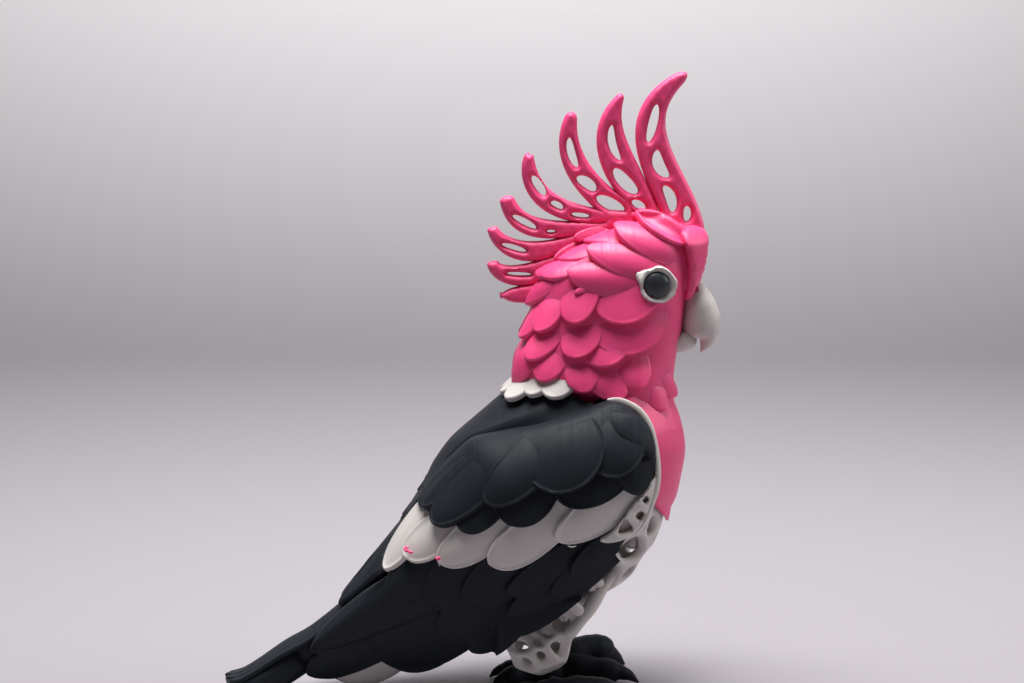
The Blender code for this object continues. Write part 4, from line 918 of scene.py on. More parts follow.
def lay(piece, rows, rim=0.32, thick=1.9, root=0.8, rows_n=40, cols=29, **more):
    for f, u, angle, length, width, low, high, crown, lean, blunt, skew in rows:
        shape = feather(wing_surface, (f, u), angle, length, width, lift=(low, high), crown=crown, lean=lean, rim=rim, thick=thick, blunt=blunt, skew=skew, root=root, rows=rows_n, cols=cols, **more)
        piece.mirror(shape[0], shape[1], shape[2])




def wing_sheet(piece, ends, top, bottom, sink, thick, rows=90, cols=46):
    """A closed sheet under the wing's feathers, between two lines along the wing."""
    k = (1 - np.cos(np.linspace(0, 1, rows) * math.pi)) / 2
    s = (ends[0] + (ends[1] - ends[0]) * k)[:, None]
    v = (1 - np.cos(np.linspace(0, 1, cols) * math.pi / 2))[None]
    d = top(s) + (bottom(s) - top(s)) * v
    s = s + 0 * d
    f, u = from_sd(s, d)
    edge = np.minimum(np.minimum(d - top(s), (bottom(s) - d)) / 1.2, 1).clip(0, 1)
    front = ((s - ends[0]) / 2.2).clip(0, 1)
    drop = 1.5 * (1 - np.sqrt(1 - (1 - edge) ** 2)) + 2.2 * (1 - np.sqrt(1 - (1 - front) ** 2))
    high = wing_half(s, d) - sink - drop
    low = np.minimum(np.maximum(wing_inside(s, d) + 0.1, high - thick), high - 0.4)
    piece.mirror(*grid_solid(np.stack([f, -high, u], -1), np.stack([f, -low, u], -1)))


SHOULDER_TOP = curve((-6.9, 9.6), (-6.5, 7.2), (-5.2, 4.4), (-3.2, 2.2), (-1.4, 1.2), (5.7, -0.8), (16.7, -5.1), (27.7, -10.4), (36.8, -13.9), (45, -13), (53.8, -11.5), (60, -9.5), (66, -7.5))
SHOULDER_LOW = curve((-6.9, 10.2), (-6.4, 13.5), (-5.4, 17.0), (-3.4, 20.5), (1.3, 19.0), (16, 11.0), (30, 4), (42, -3), (52, -8), (64, -7))
wing_sheet(coverts, (-6.9, 60), SHOULDER_TOP, SHOULDER_LOW, 0.2, 5.0)
wing_sheet(coverts, (-6.3, 57), lambda s: SHOULDER_TOP(s) + 1.0, curve((-6.5, 13), (-5.4, 19.5), (-3.2, 24), (0.5, 26.5), (6.6, 24), (16, 18), (30, 12), (41, 6), (53, 0), (60, -4), (66, -5)), 2.6, 4.0)
lay(coverts, SECOND, rim=0.34, thick=1.8)
lay(coverts, SHOULDER, rim=0.4, thick=2.0, rows_n=44, cols=35, rim_wide=0.4, rim_in=0.5)
# the front lobe of the shoulder
front_lobe = closed_path(((36.5, 90.2), (42.0, 91.0), (48.2, 90.0), (52.0, 86.2), (53.7, 80.6), (53.2, 77.4), (49.4, 79.6), (44.0, 83.6), (40.0, 86.4)), 110)
shape = plate(front_lobe, lambda q: -0.9 + 1.8 * smooth((q[:, 0] - 38) / 6) + 0.3 * smooth(to_outline(q, front_lobe) / 3), 2.0, wing_surface, step=0.8, round_r=0.7)
coverts.mirror(shape[0], shape[1])
wing_sheet(band, (0, 60), curve((0, 18), (20, 10), (40, 0), (60, -6)), curve((0, 30), (8, 31), (20, 29), (40, 20), (60, 8)), 3.9, 3.0)
PANEL = closed_path(((37.8, 54.2), (41.0, 56.6), (44.2, 60.0), (47.0, 64.2), (49.8, 67.0), (53.0, 70.6), (54.2, 71.6), (54.0, 66.6), (52.2, 61.6), (49.8, 57.2), (46.4, 54.6), (42.6, 53.4), (39.6, 53.2)), 130)
PANEL_HOLES = (closed_path(((48.1, 60.4), (49.3, 61.9), (50.6, 61.0), (49.4, 59.3)), 24), closed_path(((50.0, 65.2), (51.0, 66.4), (51.9, 65.2), (50.9, 64.1)), 24), closed_path(((44.6, 60.0), (46.6, 58.2), (46.9, 56.4), (43.0, 56.0)), 30))
shape = plate(PANEL, lambda q: -1.8 + 0.25 * np.sin(q[:, 0] * 0.9), 3.2, wing_surface, step=0.6, round_r=0.8, holes=PANEL_HOLES)
band.mirror(shape[0], shape[1])
shape = plate(PANEL, lambda q: -5.2 + 0 * q[:, 0], 1.2, wing_surface, step=1.5, round_r=0.5)
band.mirror(shape[0], shape[1])
lay(band, BAND, rim=0.42, thick=1.8, rows_n=44, cols=31, rim_wide=0.45, rim_in=0.55)
wing_sheet(lower, (6, 92), curve((6, 26), (20, 24), (40, 14), (60, 6), (92, 3)), curve((6, 30), (14, 35.2), (20, 37.4), (30, 40.2), (40, 39.8), (60, 37), (80, 27), (92, 18)), 7.0, 3.0)
lay(lower, LOWER_3, rim=0.24, thick=1.6)
lay(lower, LOWER_2, rim=0.3, thick=1.7)
lay(lower, LOWER_1, rim=0.32, thick=1.8)
lay(flights, LONG[2:], rim=0.34, thick=1.8, rows_n=50, root=1.2)
lay(flights, LONG[1:2], rim=0.75, thick=2.0, rows_n=60, cols=35, root=1.35, rim_wide=0.55, rim_in=0.75)
lay(flights, LONG[:1], rim=0.3, thick=1.6, rows_n=40, cols=19, root=1.1)

# ---------------------------------------------------------------- back, tail
mantle = Piece("mantle", "charcoal", DARK, ("mantle",))


def mantle_grid(sink, rows_n=60, cols=61):
    rows = []
    for v in np.linspace(0, 1, rows_n):
        row = []
        for q in np.linspace(-1, 1, cols):
            start = 18.8 - 20.2 * q * q
            s = start + (80.0 - start) * v
            reach = float(wing_inside(s, WING_TOP(s) + 0.3)) + 1.2
            l = q * reach
            top, edge = float(BACK(s)), float(WING_TOP(s)) + 0.5
            d_out = max(top + (edge - top) * q * q + (1.6 + 1.8 * float(smooth((s - 14) / 8))) * float(smooth((abs(q) - 0.83) / 0.09)), (93 - 94.2 - 2.4 * float(smooth((abs(q) - 0.5) / 0.2)) - 0.62310812 * s) / 0.78213571)
            inner = 1 - ((s - TRUNK_S) / TRUNK_LONG) ** 2 - (l / TRUNK_WIDE) ** 2
            d_trunk = TRUNK_D - TRUNK_DEEP * math.sqrt(max(inner, 0.0))
            d_out = min(d_out, d_trunk - 1.8)
            d = d_out if not sink else max(min(d_out + 3.4, d_trunk - 0.9), d_out + 0.9)
            f, u = from_sd(s, d)
            row.append((f, l, u))
        rows.append(row)
    return np.array(rows)


mantle.add(*grid_solid(mantle_grid(False), mantle_grid(True)))


def back_surface(a, b):
    """Place and outward direction on the back at (along, left)."""
    def at(s, l):
        reach = np.maximum(wing_inside(s, WING_TOP(s) + 0.3) - 1.0, 3.0)
        q = np.clip(l / reach, -1.1, 1.1)
        d = BACK(s) + (WING_TOP(s) + 0.5 - BACK(s)) * q * q
        f, u = from_sd(s, d)
        return np.stack([f, l + 0 * f, u], -1)
    p = at(a, b)
    ds, dl = at(a + 0.3, b) - at(a - 0.3, b), at(a, b + 0.3) - at(a, b - 0.3)
    n = unit(np.cross(dl, ds))
    n = np.where(n[..., 2:] < 0, -n, n)
    return p, n


for row, (s, count, wide, length) in enumerate(((70.5, 2, 7.0, 20), (60.5, 3, 8.5, 17))):
    for k in range(count):
        l = (k - (count - 1) / 2) * wide * 0.92
        shape = feather(back_surface, (s - 0.35 * abs(l), l), 0, length, wide * 1.12, lift=(-1.2, 0.3), crown=0.2, rim=0.15, thick=1.2, blunt=1.6, rows=24, cols=19)
        mantle.add(shape[0], shape[1], shape[2])

TAIL_TOP = curve((60, 3.0), (70, 2.6), (80, 2.4), (88, 1.5), (100, 2.0), (112, 2.2), (122, 1.0), (131, 0.6), (137, 0.0), (142.5, -2.4))
TAIL_LOW = curve((60, 14), (88, 14), (100, 13.8), (112, 13.4), (122, 12.9), (129, 12.2), (135, 10.8), (139.5, 9.0), (142, 6.5))
TAIL_WIDE = curve((60, 8), (88, 8), (104, 6.4), (118, 6.8), (126, 8.4), (132, 9.2), (137, 8.8), (141.5, 7.0))
tail = Piece("tail", "charcoal", DARK, ("tail",))
rings = []
for s in np.linspace(68, 142, 90):
    top, low, wide = float(TAIL_TOP(s)) + 0.4, float(TAIL_LOW(s)), float(TAIL_WIDE(s)) - 0.3
    if s < 120:
        wide = min(wide, float(np.min(wing_inside(np.full(7, float(s)), np.linspace(top, low, 7)))) - 0.9)
    a = np.linspace(0, 2 * math.pi, 56, endpoint=False)
    c, w = np.cos(a), np.sin(a)
    l = wide * np.sign(w) * np.abs(w) ** 0.7
    d = (top + low) / 2 - (low - top) / 2 * np.sign(c) * np.abs(c) ** 0.55 + 0.9 * (l / wide) ** 2 * np.sign(c)
    f, u = from_sd(s + 0 * a, d)
    rings.append(np.stack([f, l, np.maximum(u, 0.02)], 1))
tail.add(*tube(rings))


def tail_surface(a, b):
    def at(s, l):
        d = TAIL_TOP(s) + 0.9 * (l / np.maximum(TAIL_WIDE(s), 3)) ** 2
        f, u = from_sd(s, d)
        return np.stack([f, l + 0 * f, u], -1)
    p = at(a, b)
    ds, dl = at(a + 0.3, b) - at(a - 0.3, b), at(a, b + 0.3) - at(a, b - 0.3)
    n = unit(np.cross(dl, ds))
    n = np.where(n[..., 2:] < 0, -n, n)
    return p, n


for l, s, wide, low, high in ((-6.0, 140.6, 5.6, -1.0, -0.5), (6.0, 140.6, 5.6, -1.0, -0.5), (-3.1, 141.6, 6.0, -0.8, -0.3), (3.1, 141.6, 6.0, -0.8, -0.3), (0, 142.2, 6.4, -0.6, -0.1)):
    shape = feather(tail_surface, (s, l), 0, 46, wide, lift=(low, high), crown=0.25, rim=0.15, thick=1.0, blunt=4.0, rows=40, cols=17, quill=0.12)
    tail.add(shape[0], shape[1], shape[2])

under = Piece("undertail", "white", WHITE, ("undertail",))
rings = []
for s in np.linspace(70.5, 117, 46):
    top = float(curve((70.5, 17), (79, 15), (90, 14.7), (100, 14.2), (110, 13.3), (117, 12.6))(s))
    low = float(curve((70.5, 26), (79, 30), (90, 31), (100, 30.5), (108, 28.8), (114, 24.5), (117, 19))(s))
    wide = float(curve((70.5, 6.5), (79, 6.5), (90, 6.2), (100, 5.6), (110, 4.8), (117, 3))(s))
    a = np.linspace(0, 2 * math.pi, 48, endpoint=False)
    d = (top + low) / 2 + (low - top) / 2 * np.cos(a)
    f, u = from_sd(s + 0 * a, d)
    room = np.where(s < 80, wide, wing_inside(np.full(48, float(s)), d) - 1.2)
    rings.append(np.stack([f, np.clip(wide * np.sin(a), -room, room), np.maximum(u, 0.4)], 1))
under.add(*tube(rings))

# ---------------------------------------------------------------- breast, trim, collar
BIB_FRONT = curve((54.3, 57.0), (55.3, 58.1), (58.2, 60.0), (61.7, 61.7), (67.6, 63.0), (76.4, 64.3), (84.6, 63.0), (91.4, 60.7), (95, 60.0))
BIB_SIDE = curve((54.3, 56.7), (56.5, 55.9), (58.8, 55.3), (65, 54.8), (74.2, 54.4), (82.5, 53.4), (88.4, 50.6), (91.4, 48.2), (95, 45.6))
BIB_HALF = curve((54.3, 1.6), (56, 6.0), (58, 10.2), (61, 13.8), (64, 16.6), (72, 18.8), (80, 20.3), (91.4, 19.5), (95, 19.0))
breast = Piece("breast", "pink", PINK, ("breast",))


def bib_grid(sink, rows_n=70, cols=71):
    u = np.linspace(94.0, 54.3, rows_n)[:, None] + 0 * np.linspace(-1, 1, cols)[None]
    q = 0 * u + np.linspace(-1, 1, cols)[None]
    l = q * BIB_HALF(u)
    f = BIB_FRONT(u) - (BIB_FRONT(u) - BIB_SIDE(u)) * np.abs(q) ** 2.2
    crease = np.exp(-(((u - 83.0 - 3.0 * (np.abs(q) - 0.4)) / 0.55) ** 2)) * np.exp(-(((np.abs(q) - 0.45) / 0.3) ** 2))
    f = f + 0.25 * crease
    lo, hi = np.full(u.shape, TRUNK_C[0]), np.full(u.shape, TRUNK_C[0] + 60)
    for _ in range(40):
        mid = (lo + hi) / 2
        s, d = to_sd(mid, u)
        value = ((s - TRUNK_S) / TRUNK_LONG) ** 2 + ((d - TRUNK_D) / TRUNK_DEEP) ** 2 + (l / TRUNK_WIDE) ** 2
        lo, hi = np.where(value < 1, mid, lo), np.where(value < 1, hi, mid)
    low = np.maximum(f - 3.6, lo + 0.45)
    return np.stack([low if sink else np.maximum(f, low + 0.9), l, u], -1)


breast.add(*grid_solid(bib_grid(False), bib_grid(True)))

EDGING = ((40.0, 93.6), (45.0, 92.8), (49.4, 90.2), (52.3, 85.8), (53.8, 80.0), (54.6, 73.7), (54.2, 68.0), (52.8, 63.8), (50.8, 59.0), (47.8, 55.7), (42.6, 54.0))
EDGING_OUT = curve((0, 21.6), (2, 22.8), (4, 23.8), (6, 25.0), (8, 26.4), (10, 27.6))
trim = Piece("wing_edging", "white", WHITE, ("wing_edging_L", "wing_edging_R"))


def fine_path(keys, n):
    k = np.array(keys, float)
    k = np.concatenate([[2 * k[0] - k[1]], k, [2 * k[-1] - k[-2]]])
    t = np.linspace(0, len(keys) - 1, n)
    i = np.minimum(t.astype(int), len(keys) - 2)
    x = (t - i)[:, None]
    a, b, c, d = k[i], k[i + 1], k[i + 2], k[i + 3]
    return 0.5 * (2 * b + (c - a) * x + (2 * a - 5 * b + 4 * c - d) * x * x + (3 * b - 3 * c + d - a) * x ** 3), t


path, place = fine_path(EDGING, 120)
run = unit(np.gradient(path, axis=0))
across = np.stack([run[:, 1], -run[:, 0]], 1)
rings = []
for p, w, k in zip(path, across, place):
    out = float(EDGING_OUT(k))
    a = np.linspace(-math.pi / 2, math.pi / 2, 15)
    ends = 1.0 * math.sin(min(1, (k + 0.15) / 0.8, (10.15 - k) / 0.8) * math.pi / 2)
    ring = []
    s, d = to_sd(p[0], p[1])
    low = max(out - 5.5, float(trunk_half(s, d)) + 0.5, 20.7 if p[1] > 76 else 0.0)
    for v in a:
        q = p + w * ends * math.sin(v)
        ring.append((q[0], -(low + (max(out, low + 1.2) - low) * (0.75 + 0.25 * math.cos(v))), q[1]))
    for v in np.linspace(1, -1, 7):
        q = p + w * ends * v
        ring.append((q[0], -low, q[1]))
    rings.append(np.array(ring))
trim.mirror(*tube(rings))

collar = Piece("nape_collar", "white", WHITE, ("nape_collar",))


def skirt_surface(a, b):
    """The flare from the nape down on to the back, at (arc length at its top, up)."""
    turn = turn_of(a, 98.5 + 0 * b)
    p = ring_at(turn, 98.5 + 0 * b)
    mid = (HEAD_BACK(98.5) + HEAD_FRONT(98.5)) / 2
    out = unit(np.stack([p[..., 0] - mid, p[..., 1] * 1.3, 0 * b], -1))
    steep = 0.25 + 0.75 * np.clip(-np.cos(turn), 0, 1) ** 1.5
    grow = np.clip(98.5 - b, -6, 12) * steep
    q = p + out * grow[..., None]
    q[..., 2] = b
    n = unit(out + np.stack([0 * b, 0 * b, steep], -1))
    return q, n


back_at = -float(np.interp(math.pi, TURN, _arc[25]))
for w, tip, width, angle, high in ((4.2, 93.4, 11.0, 276, 0.3), (16.6, 94.0, 11.0, 272, 0.3), (10.2, 92.3, 11.6, 270, 0.5), (22.4, 93.6, 12.6, 262, 0.5)):
    shape = feather(skirt_surface, (back_at + w, tip), angle, 11.0, width, lift=(-0.7, high), crown=0.45, rim=0.10, thick=1.4, blunt=1.35, rows=32, cols=23)
    collar.mirror(shape[0], shape[1], shape[2])

# ---------------------------------------------------------------- openwork belly and legs
def cells(points):
    """The cells round points on a sphere, each a ring of corner numbers, and the corners."""
    work = bmesh.new()
    for p in points:
        work.verts.new(tuple(p))
    work.verts.index_update()
    bmesh.ops.convex_hull(work, input=work.verts)
    work.verts.index_update()
    bmesh.ops.triangulate(work, faces=work.faces)
    work.faces.index_update()
    corners, rings = [], []
    for face in work.faces:
        a, b, c = (np.array(v.co) for v in face.verts)
        n = unit(np.cross(b - a, c - a))
        m = unit((a + b + c) / 3)
        n = n if n @ m > 0 else -n
        corners.append(unit(0.5 * n + 0.5 * m))
    for vert in work.verts:
        centre = np.array(vert.co)
        x = unit(np.cross(centre, (0.3, 0.5, 0.81)))
        y = np.cross(centre, x)
        ids = [f.index for f in vert.link_faces]
        ids.sort(key=lambda k: math.atan2(corners[k] @ y, corners[k] @ x))
        rings.append(ids)
    work.free()
    return np.array(corners), rings


def spaced(fixed, count, seed):
    """Directions spread over a sphere, clear of the fixed ones."""
    rng = np.random.default_rng(seed)
    i = np.arange(count) + 0.5
    z = 1 - 2 * i / count
    a = math.pi * (1 + 5 ** 0.5) * i
    p = np.stack([np.sqrt(1 - z * z) * np.cos(a), np.sqrt(1 - z * z) * np.sin(a), z], 1)
    p = unit(p + rng.normal(0, 0.22 * math.sqrt(4 * math.pi / count), p.shape))
    fixed = unit(np.asarray(fixed, float))
    near = np.arccos(np.clip(p @ fixed.T, -1, 1)).min(1)
    return np.concatenate([fixed, p[near > 0.78 * math.sqrt(4 * math.pi / count)]])


def openwork(piece, centre, radius, seeds, is_open, wall, rib, funnel=0.9, levels=2):
    """A hollow shell with a rounded hole in each cell that is_open names."""
    corners, rings = cells(seeds)
    reach = radius(corners)
    place = centre + corners * reach[:, None]
    points, low = [p for p in place], [p for p in centre + corners * (reach - wall)[:, None]]
    outer, holes = [], []
    for ring, seed in zip(rings, seeds):
        mid = place[ring].mean(0)
        k = len(ring)
        share_open = is_open(mid, seed)
        away = mid - place[ring]
        size = np.linalg.norm(away, axis=1).mean()
        first = len(points)
        if share_open <= 0:
            # a closed cell is a shallow pillow
            points.append(mid + unit(mid - centre) * 0.1)
            low.append(mid - unit(mid - centre) * wall)
            for j in range(k):
                outer.append((ring[j], ring[(j + 1) % k], first))
            continue
        share = 1 - (1 - min(0.72, rib / size)) * share_open
        inset = place[ring] + away * share
        way = inset - centre
        dist = np.linalg.norm(way, axis=1)
        way = way / dist[:, None]
        points += [p for p in centre + way * (dist - funnel)[:, None]]
        low += [p for p in centre + way * (dist - wall)[:, None]]
        for j in range(k):
            m = (j + 1) % k
            outer.append((ring[j], ring[m], first + m, first + j))
        holes.append([first + j for j in range(k)])
    n = len(points)
    faces = outer + [tuple(n + i for i in reversed(f)) for f in outer]
    for hole in holes:
        for a, b in zip(hole, hole[1:] + hole[:1]):
            faces.append((a, b, n + b, n + a))
    rough = bpy.data.meshes.new("rough")
    rough.from_pydata([tuple(p) for p in np.array(points + low)], [], faces)
    holder = bpy.data.objects.new("rough", rough)
    bpy.context.scene.collection.objects.link(holder)
    soft = holder.modifiers.new("soft", "SUBSURF")
    soft.levels = soft.render_levels = levels
    bpy.context.view_layer.update()
    graph = bpy.context.evaluated_depsgraph_get()
    done = holder.evaluated_get(graph)
    mesh = done.to_mesh()
    verts = np.array([tuple(v.co) for v in mesh.vertices])
    polys = [tuple(p.vertices) for p in mesh.polygons]
    done.to_mesh_clear()
    bpy.data.objects.remove(holder)
    bpy.data.meshes.remove(rough)
    piece.add(verts, polys)


def trunk_radius(ways):
    a = (ways[:, 0] * ALONG[0] + ways[:, 2] * ALONG[1]) / TRUNK_LONG
    b = (ways[:, 0] * DOWN[0] + ways[:, 2] * DOWN[1]) / TRUNK_DEEP
    c = ways[:, 1] / TRUNK_WIDE
    r = 1 / np.sqrt(a * a + b * b + c * c)
    top = np.where(ways[:, 2] > 1e-6, (TRUNK_TOP - 1.0 - TRUNK_C[2]) / np.maximum(ways[:, 2], 1e-6), 1e9)
    return np.minimum(r, top)


# places of the holes that the eye meets first, as forward, up, on both flanks
HOLES = ((30.2, 31.6), (41.0, 40.6), (48.6, 48.0), (44.3, 54.6), (49.6, 58.2), (51.6, 63.6), (21.5, 27.5), (37.0, 50.5), (33.0, 42.5))
fixed = []
for f, u in HOLES:
    s, d = to_sd(f, u)
    l = float(trunk_half(s, d))
    for side in (-1, 1):
        aside = -3.0 if side > 0 and f > 40 else 0
        fixed.append((f + aside - TRUNK_C[0], side * max(l, 6.0), u + aside - TRUNK_C[2]))
seeds = spaced(fixed, 130, 5)


def belly_open(p, seed):
    s, d = to_sd(p[0], p[2])
    if d < 19 or p[2] > 67 or (abs(p[1]) < 15 and p[2] > 55):
        return 0
    return 1.0


trunk = Piece("openwork_belly", "white", WHITE, ("trunk",))
openwork(trunk, TRUNK_C, trunk_radius, seeds, belly_open, 3.0, 1.7)

THIGH_C = np.array([19.2, 15.0, 19.5])
THIGH_KEYS = curve((-90, 10.4), (-60, 11.0), (-45, 10.5), (-20, 10.5), (-5, 10.8), (20, 12.5), (40, 14), (90, 15))
THIGH_FRONT = curve((-90, 10.4), (-60, 11.0), (-45, 11.6), (-20, 12.0), (0, 13.0), (12, 14.0), (22, 15.0), (30, 16.6), (38, 22.5), (44, 27.5), (52, 24), (64, 18), (90, 15))


def thigh_radius(side):
    centre = THIGH_C * (1, side, 1)

    def radius(ways):
        rise = np.degrees(np.arcsin(np.clip(ways[:, 2], -1, 1)))
        ahead = smooth((ways[:, 0] + 0.25) / 0.6)
        r = (THIGH_KEYS(rise) * (1 - ahead) + THIGH_FRONT(rise) * ahead) * (1 - 0.22 * np.abs(ways[:, 1]) ** 1.5)
        inner = np.where(ways[:, 1] * side < 0, (abs(centre[1]) - 2.0) / np.maximum(-ways[:, 1] * side, 1e-6), 1e9)
        outer = np.where(ways[:, 1] * side > 0, (THIGH_OUT - 4.4 * smooth((rise - 20) / 18) - abs(centre[1])) / np.maximum(ways[:, 1] * side, 1e-6), 1e9)
        r = np.minimum(r, outer)
        foot = np.where(ways[:, 2] < 0, (centre[2] - 8.6) / np.maximum(-ways[:, 2], 1e-6), 1e9)
        return np.minimum(np.minimum(r, inner), foot)

    return centre, radius


THIGH_HOLES = ((20.4, 24.4), (25.2, 26.5), (28.6, 20.8), (23.2, 16.0), (14.4, 13.6), (12.6, 20.8), (31.2, 31.6))
thighs = Piece("openwork_thighs", "white", WHITE, ("thigh_L", "thigh_R"))
for side in (-1, 1):
    centre, radius = thigh_radius(side)
    fixed = [(f - centre[0], side * 8.0, u - centre[2]) for f, u in THIGH_HOLES] + [(f - centre[0] + 1.5, -side * 9.0, u - centre[2]) for f, u in THIGH_HOLES[:5]]
    openwork(thighs, centre, radius, spaced(fixed, 28, 11), lambda p, seed: 0.9 if p[2] < 35 else 0, 2.8, 2.1, funnel=1.3)

# ribs that run from each thigh up to the belly
for keys, side_keys, thick in (
    (((27.4, 22.5), (30.8, 25.2), (34.2, 29.2), (37.2, 33.4), (40.6, 38.0), (44.0, 42.0)), (19.0, 18.4, 16.8, 14.6, 12.0, 9.6), 1.9),
    (((20.0, 38.4), (25.0, 35.4), (29.2, 32.6), (33.2, 29.4)), (19.4, 19.2, 18.4, 17.0), 1.6),
    (((27.0, 47.4), (31.6, 43.6), (35.6, 40.2), (38.8, 37.0)), (18.6, 17.4, 15.6, 13.4), 1.6),
    (((37.0, 55.0), (40.4, 50.4), (43.0, 45.8), (44.4, 42.4)), (16.4, 14.2, 11.8, 9.6), 1.4),
    (((46.4, 59.0), (47.6, 55.0), (48.2, 51.0), (47.6, 47.0)), (7.0, 7.0, 7.0, 7.0), 2.4),
):
    line, at = fine_path(keys, 40)
    out = np.interp(at, np.arange(len(side_keys)), side_keys)
    swell = thick * (1 + 0.14 * np.sin(at * 2.6 + 1)) * np.interp(np.linspace(0, 1, 40), (0, 0.08, 0.92, 1), (0.5, 1, 1, 0.6))
    points, faces = sweep(np.stack([line[:, 0], -out, line[:, 1]], 1), swell, n=20)
    thighs.mirror(points, faces)

# ---------------------------------------------------------------- feet
feet = Piece("feet", "charcoal", DARK, ("foot_L", "foot_R"))
ANKLE = (23.6, 15.5)
# toes as (direction from forward towards the outside, length, thickness)
TOES = ((-8, 26.0, 3.9, 1.0), (22, 24.0, 4.7, 1.0), (172, 17.4, 3.0, 0.8), (206, 18.2, 3.0, 0.8))
for side in (-1, 1):
    for angle, length, thick, tall in TOES:
        a = math.radians(angle)
        t = np.linspace(0, 1, 44)
        pad = 1 + 0.06 * np.cos(t * 3 * 2 * math.pi) * (t < 0.8)
        r = thick * np.interp(t, (0, 0.3, 0.6, 0.74, 0.8, 0.9, 1.0), (1.05, 1.0, 0.98, 0.85, 0.62, 0.42, 0.08)) * pad
        flat = 0.76 if side < 0 else 1.0
        rise = flat * np.interp(t, (0, 0.25, 0.5, 0.7, 0.8, 0.9, 1), (6.0, 7.2, 8.9, 8.2, 6.4, 4.6, 2.6) if angle == 22 else (5.6, 5.4, 4.4, 3.7, 3.5, 2.6, 0.5)) * tall
        x = length * 1.08 * t
        line = np.stack([ANKLE[0] + x * math.cos(a), side * (ANKLE[1] + x * math.sin(a)), np.maximum(rise, r * 0.9)], 1)
        points, faces = sweep(line, r, n=28)
        points[:, 2] = np.maximum(points[:, 2], 0.02)
        feet.add(points, faces)
    a = np.linspace(0, 2 * math.pi, 40, endpoint=False)
    rings = [np.stack([ANKLE[0] + r * np.cos(a), side * ANKLE[1] + r * np.sin(a), 0 * a + u], 1) for r, u in ((5.4, 0.02), (6.3, 1.2), (6.6, 3.5), (6.0, 5.2), (5.2, 6.8), (3.6, 8.0), (1.0, 8.5))]
    feet.add(*tube(rings))

specks = Piece("stray_pink", "pink", PINK, ())
wisps = Piece("stray_white", "white", WHITE, ())


def wisp(piece, keys, radius, out):
    """A hair of plastic over the wing, through side-view places."""
    path, _ = fine_path(keys, 12)
    place = wing_surface(path[:, 0], path[:, 1])[0] + np.array([0, -1.0, 0]) * out
    r = radius * np.sin(np.linspace(0.12, 0.95, 12) * math.pi) ** 0.6
    piece.add(*sweep(place, r, n=8))


for keys, radius in ((((-19.2, 50.3), (-18.4, 49.7), (-17.6, 49.9)), 0.44), (((-18.1, 50.0), (-17.1, 49.5), (-16.3, 49.8)), 0.42), (((-18.7, 50.9), (-18.2, 50.5), (-17.6, 50.7)), 0.3), (((-9.6, 49.2), (-9.0, 48.6), (-8.3, 48.8)), 0.44), (((-8.9, 49.2), (-8.4, 49.0), (-8.0, 49.2)), 0.36)):
    wisp(specks, keys, radius, 0.75)
for keys, radius, out in ((((-9.0, 48.4), (-8.7, 47.2), (-8.5, 46.3)), 0.14, 0.0), (((11.6, 46.7), (12.1, 46.1), (12.6, 46.0)), 0.14, 0.2), (((28.4, 53.4), (29.6, 53.0), (30.8, 53.3)), 0.2, 0.0)):
    wisp(wisps, keys, radius, out)
specks.make()
wisps.make()
# the coverts' roots keep below the back
for block in coverts.points:
    block[:, 2] -= 2.6 * smooth((9.8 - np.abs(block[:, 1])) / 1.6)

for piece in (coverts, band, lower, flights, mantle, tail, under, breast, trim, collar, trunk, thighs, feet):
    piece.make()

# ---------------------------------------------------------------- floor, light and camera
def paper(name, colour, rough):
    made = bpy.data.materials.new(name)
    made.use_nodes = True
    nodes, links = made.node_tree.nodes, made.node_tree.links
    shader = nodes["Principled BSDF"]
    place = nodes.new("ShaderNodeTexCoord")
    noise = nodes.new("ShaderNodeTexNoise")
    noise.inputs["Scale"].default_value = 900
    noise.inputs["Detail"].default_value = 3
    links.new(place.outputs["Object"], noise.inputs["Vector"])
    mix = nodes.new("ShaderNodeMix")
    mix.data_type = "RGBA"
    links.new(noise.outputs[0], mix.inputs["Factor"])
    mix.inputs["A"].default_value = (*[c * 0.985 for c in colour], 1)
    mix.inputs["B"].default_value = (*[min(1, c * 1.015) for c in colour], 1)
    # painted light: the sheet is painted lighter where it rises, standing in for the light that falls on the backdrop
    split = nodes.new("ShaderNodeSeparateXYZ")
    links.new(place.outputs["Object"], split.inputs[0])
    painted_light_rise = nodes.new("ShaderNodeMath")
    painted_light_rise.operation, painted_light_rise.use_clamp = "MULTIPLY", True
    painted_light_rise.inputs[1].default_value = 3.4
    links.new(split.outputs["Z"], painted_light_rise.inputs[0])
    painted_light_mix = nodes.new("ShaderNodeMix")
    painted_light_mix.data_type = "RGBA"
    links.new(painted_light_rise.outputs[0], painted_light_mix.inputs["Factor"])
    links.new(mix.outputs["Result"], painted_light_mix.inputs["A"])
    painted_light_mix.inputs["B"].default_value = (0.86, 0.82, 0.84, 1)
    links.new(painted_light_mix.outputs["Result"], shader.inputs["Base Color"])
    bump = nodes.new("ShaderNodeBump")
    bump.inputs["Strength"].default_value = 0.05
    bump.inputs["Distance"].default_value = 0.0002
    links.new(noise.outputs[0], bump.inputs["Height"])
    links.new(bump.outputs[0], shader.inputs["Normal"])
    shader.inputs["Roughness"].default_value = rough
    return made


PAPER = paper("paper", (0.305, 0.283, 0.308), 0.75)
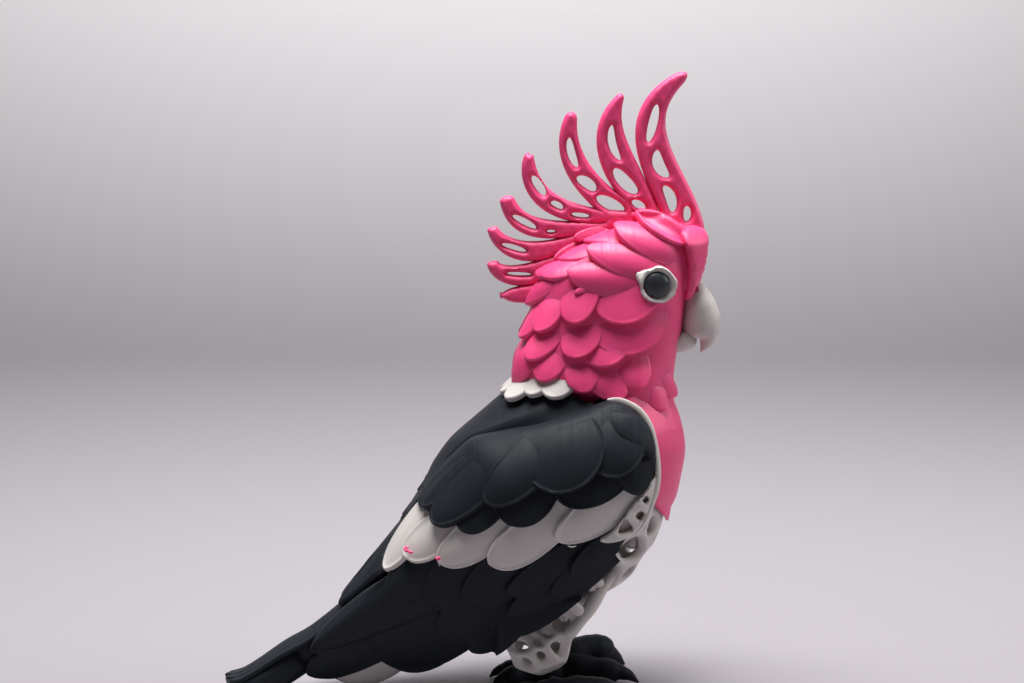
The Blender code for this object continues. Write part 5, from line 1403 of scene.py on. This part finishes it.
# a sheet that lies flat and curves up behind
n = 41
x = np.linspace(-1.6, 1.6, n)
t = np.linspace(0, 1, 60)
bend = np.where(t < 0.5, 0, 0.0)
rows = []
for v in t:
    if v < 0.55:
        a, z = -1.6 + v / 0.55 * 2.5, 0.0
    else:
        k = (v - 0.55) / 0.45
        ang = min(k / 0.6, 1) * math.pi / 2
        a = 0.9 + 0.5 * math.sin(ang)
        z = 0.5 * (1 - math.cos(ang)) + max(0, k - 0.6) / 0.4 * 1.2
    rows.append((a, z))
floor_points, floor_faces = [], []
for a, z in rows:
    for q in x:
        # the camera looks along +X, so the sheet rises on that side
        floor_points.append((a, q, z - 0.00005))
for i in range(len(rows) - 1):
    for j in range(n - 1):
        floor_faces.append((i * n + j, (i + 1) * n + j, (i + 1) * n + j + 1, i * n + j + 1))
mesh = bpy.data.meshes.new("paper_sheet")
mesh.from_pydata(floor_points, [], floor_faces)
mesh.shade_smooth()
mesh.materials.append(PAPER)
sheet = bpy.data.objects.new("paper_sheet", mesh)
bpy.context.scene.collection.objects.link(sheet)


def lamp(name, place, aim, energy, size, colour=(1, 1, 1)):
    light = bpy.data.lights.new(name, "AREA")
    light.energy, light.color = energy, colour
    light.shape, light.size, light.size_y = "RECTANGLE", size[0], size[1]
    made = bpy.data.objects.new(name, light)
    made.location = place
    made.rotation_euler = (Vector(aim) - Vector(place)).to_track_quat("-Z", "Y").to_euler()
    bpy.context.scene.collection.objects.link(made)


lamp("sky", (-0.06, 0.04, 0.82), (0.0, -0.01, 0.1), 9.2, (0.42, 0.42))
lamp("front", (0.06, -0.74, 0.40), (0.0, -0.05, 0.12), 2.3, (0.4, 0.4))
lamp("back", (0.45, 0.0, 1.25), (1.45, 0, 0.45), 14.6, (0.5, 1.8))

world_made = bpy.data.worlds.new("room")
bpy.context.scene.world = world_made
world_made.use_nodes = True
world_made.node_tree.nodes["Background"].inputs["Color"].default_value = (0.93, 0.90, 0.95, 1)
world_made.node_tree.nodes["Background"].inputs["Strength"].default_value = 0.045

bpy.context.scene.view_settings.view_transform = "Standard"
view = bpy.data.cameras.new("view")
view.lens, view.sensor_width = 70.3125, 36
view.clip_start, view.clip_end = 0.01, 20
camera = bpy.data.objects.new("view", view)
camera.location = (-0.596690, -0.018114, 0.171057)
camera.rotation_euler = (Vector((0, -0.012907, 0.108339)) - Vector(camera.location)).to_track_quat("-Z", "Y").to_euler()
bpy.context.scene.collection.objects.link(camera)
bpy.context.scene.camera = camera
